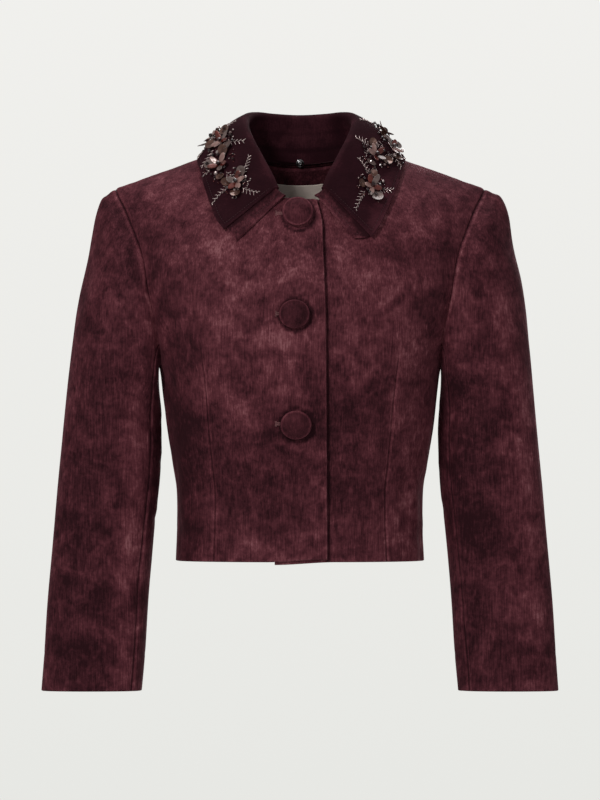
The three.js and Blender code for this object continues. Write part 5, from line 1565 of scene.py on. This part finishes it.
frontRight = finished(frontPanel(-1, "frontRightPanel"), "velvet", ["front_right"])
frontLeft = finished(frontPanel(1, "frontLeftPanel"), "velvet", ["front_left"])
back = finished(backPanel(), "velvet", ["back"])
for side, word, seed in ((-1, "Right", 71), (1, "Left", 83)):
    frontSeam, backSeam = sleeve["frontSeam"], sleeve["backSeam"]
    top = sleevePiece(side, f"sleeveTop{word}", frontSeam, backSeam, seed)
    under = sleevePiece(side, f"sleeveUnder{word}", backSeam - sleeve["columns"], frontSeam, seed + 5)
    finished(top, "velvet", [f"sleeve_top_{word.lower()}"])
    finished(under, "velvet", [f"sleeve_under_{word.lower()}"])
collarBelow = finished(undercollar(), "velvet", ["collar_under"])
collarAbove = finished(overcollar(), "collar", ["overcollar"])
facingPiece = finished(backFacing(), "velvet", ["back_neck_facing"])
labelPiece = finished(neckLabel(), "label", ["neck_label"])
buttonPieces = [finished(piece, "buttonVelvet", [f"button_{k + 1}"])
                for k, piece in enumerate(makeButtons())]
snapPiece = finished(makeSnap(), "snap", ["snap_cap"])
sewing = [finished(piece, None, None) for piece, slotName in
          [(piece, "collar_cloth") for piece in collarStitches()]
          + [(buttonholeStitches(), "velvet"), (labelStitches(), "label_cloth")]]
beadPieces = [finished(piece, None, None) for piece in beads()]
print("sewing and bead pieces:", len(sewing), len(beadPieces))


# Room

room = {
    "cameraY": -8.0, "cameraZ": -0.272, "lens": 326, "floorZ": -1.15, "floorRadius": 3.2, "horizon": 0.0553,
    "skyLow": (0.80, 0.805, 0.775), "skyHigh": (0.875, 0.87, 0.845), "ambient": 0.32,
}


def makeRoom():
    scene = bpy.context.scene
    camera = bpy.data.objects.new("camera", bpy.data.cameras.new("camera"))
    camera.data.lens = room["lens"]
    camera.data.sensor_width = 36
    camera.data.clip_end = 50
    camera.location = (0, room["cameraY"], room["cameraZ"])
    camera.rotation_euler = (math.radians(90), 0, 0)
    scene.collection.objects.link(camera)
    scene.camera = camera
    for name, place, aim, size, power, tint in (
            ("key light", (-1.5, -2.6, 1.6), (0, 0, -0.25), 0.55, 50, (1, 0.985, 0.96)),
            ("fill light", (1.9, -2.4, 0.3), (0, 0, -0.3), 1.8, 7, (0.97, 0.98, 1)),
            ("top light", (0.2, 0.6, 2.0), (0, 0, -0.1), 1.4, 18, (1, 1, 1)),
            ("rear light", (0.8, 2.8, 0.7), (0, 0, -0.25), 1.8, 30, (1, 1, 1))):
        lamp = bpy.data.lights.new(name, "AREA")
        lamp.shape, lamp.size, lamp.energy, lamp.color = "DISK", size, power, tint
        light = bpy.data.objects.new(name, lamp)
        light.location = place
        light.rotation_euler = (Vector(aim) - Vector(place)).to_track_quat("-Z", "Y").to_euler()
        scene.collection.objects.link(light)
    # the camera sees the full sky, the jacket only a share of its light
    sky = Finish("pale room", bpy.data.worlds)
    scene.world = sky.material
    upright = sky.node("SeparateXYZ", None, {0: sky.node("TexCoord", out="Generated")}, "Z")
    height = sky.node("MapRange", None, {"Value": upright, "From Min": -room["horizon"],
                                         "From Max": room["horizon"]})
    colour = sky.node("Mix", {"data_type": "RGBA"}, {0: height, 6: room["skyLow"], 7: room["skyHigh"]}, 2)
    seen = sky.node("LightPath", out="Is Camera Ray")
    strength = sky.node("MapRange", None, {"Value": seen, "To Min": room["ambient"], "To Max": 1.0})
    shine = sky.node("Background", None, {"Color": colour, "Strength": strength})
    sky.node("OutputWorld", None, {"Surface": shine})
    bpy.ops.mesh.primitive_circle_add(vertices=96, radius=room["floorRadius"], fill_type="NGON",
                                      location=(0, 0, room["floorZ"]))
    floor = bpy.context.object
    floor.name = "floor"
    paint = Finish("pale floor")
    soft = paint.noise(paint.objectPlace(), 0.6, 1.0)
    colour = paint.ramp([(0.3, (0.70, 0.71, 0.69)), (0.7, (0.74, 0.75, 0.73))], soft)
    floor.data.materials.append(paint.surface({"Base Color": colour, "Roughness": 0.9}))
    scene.view_settings.view_transform = "Standard"
    scene.view_settings.look = "None"


makeRoom()
print("room made")
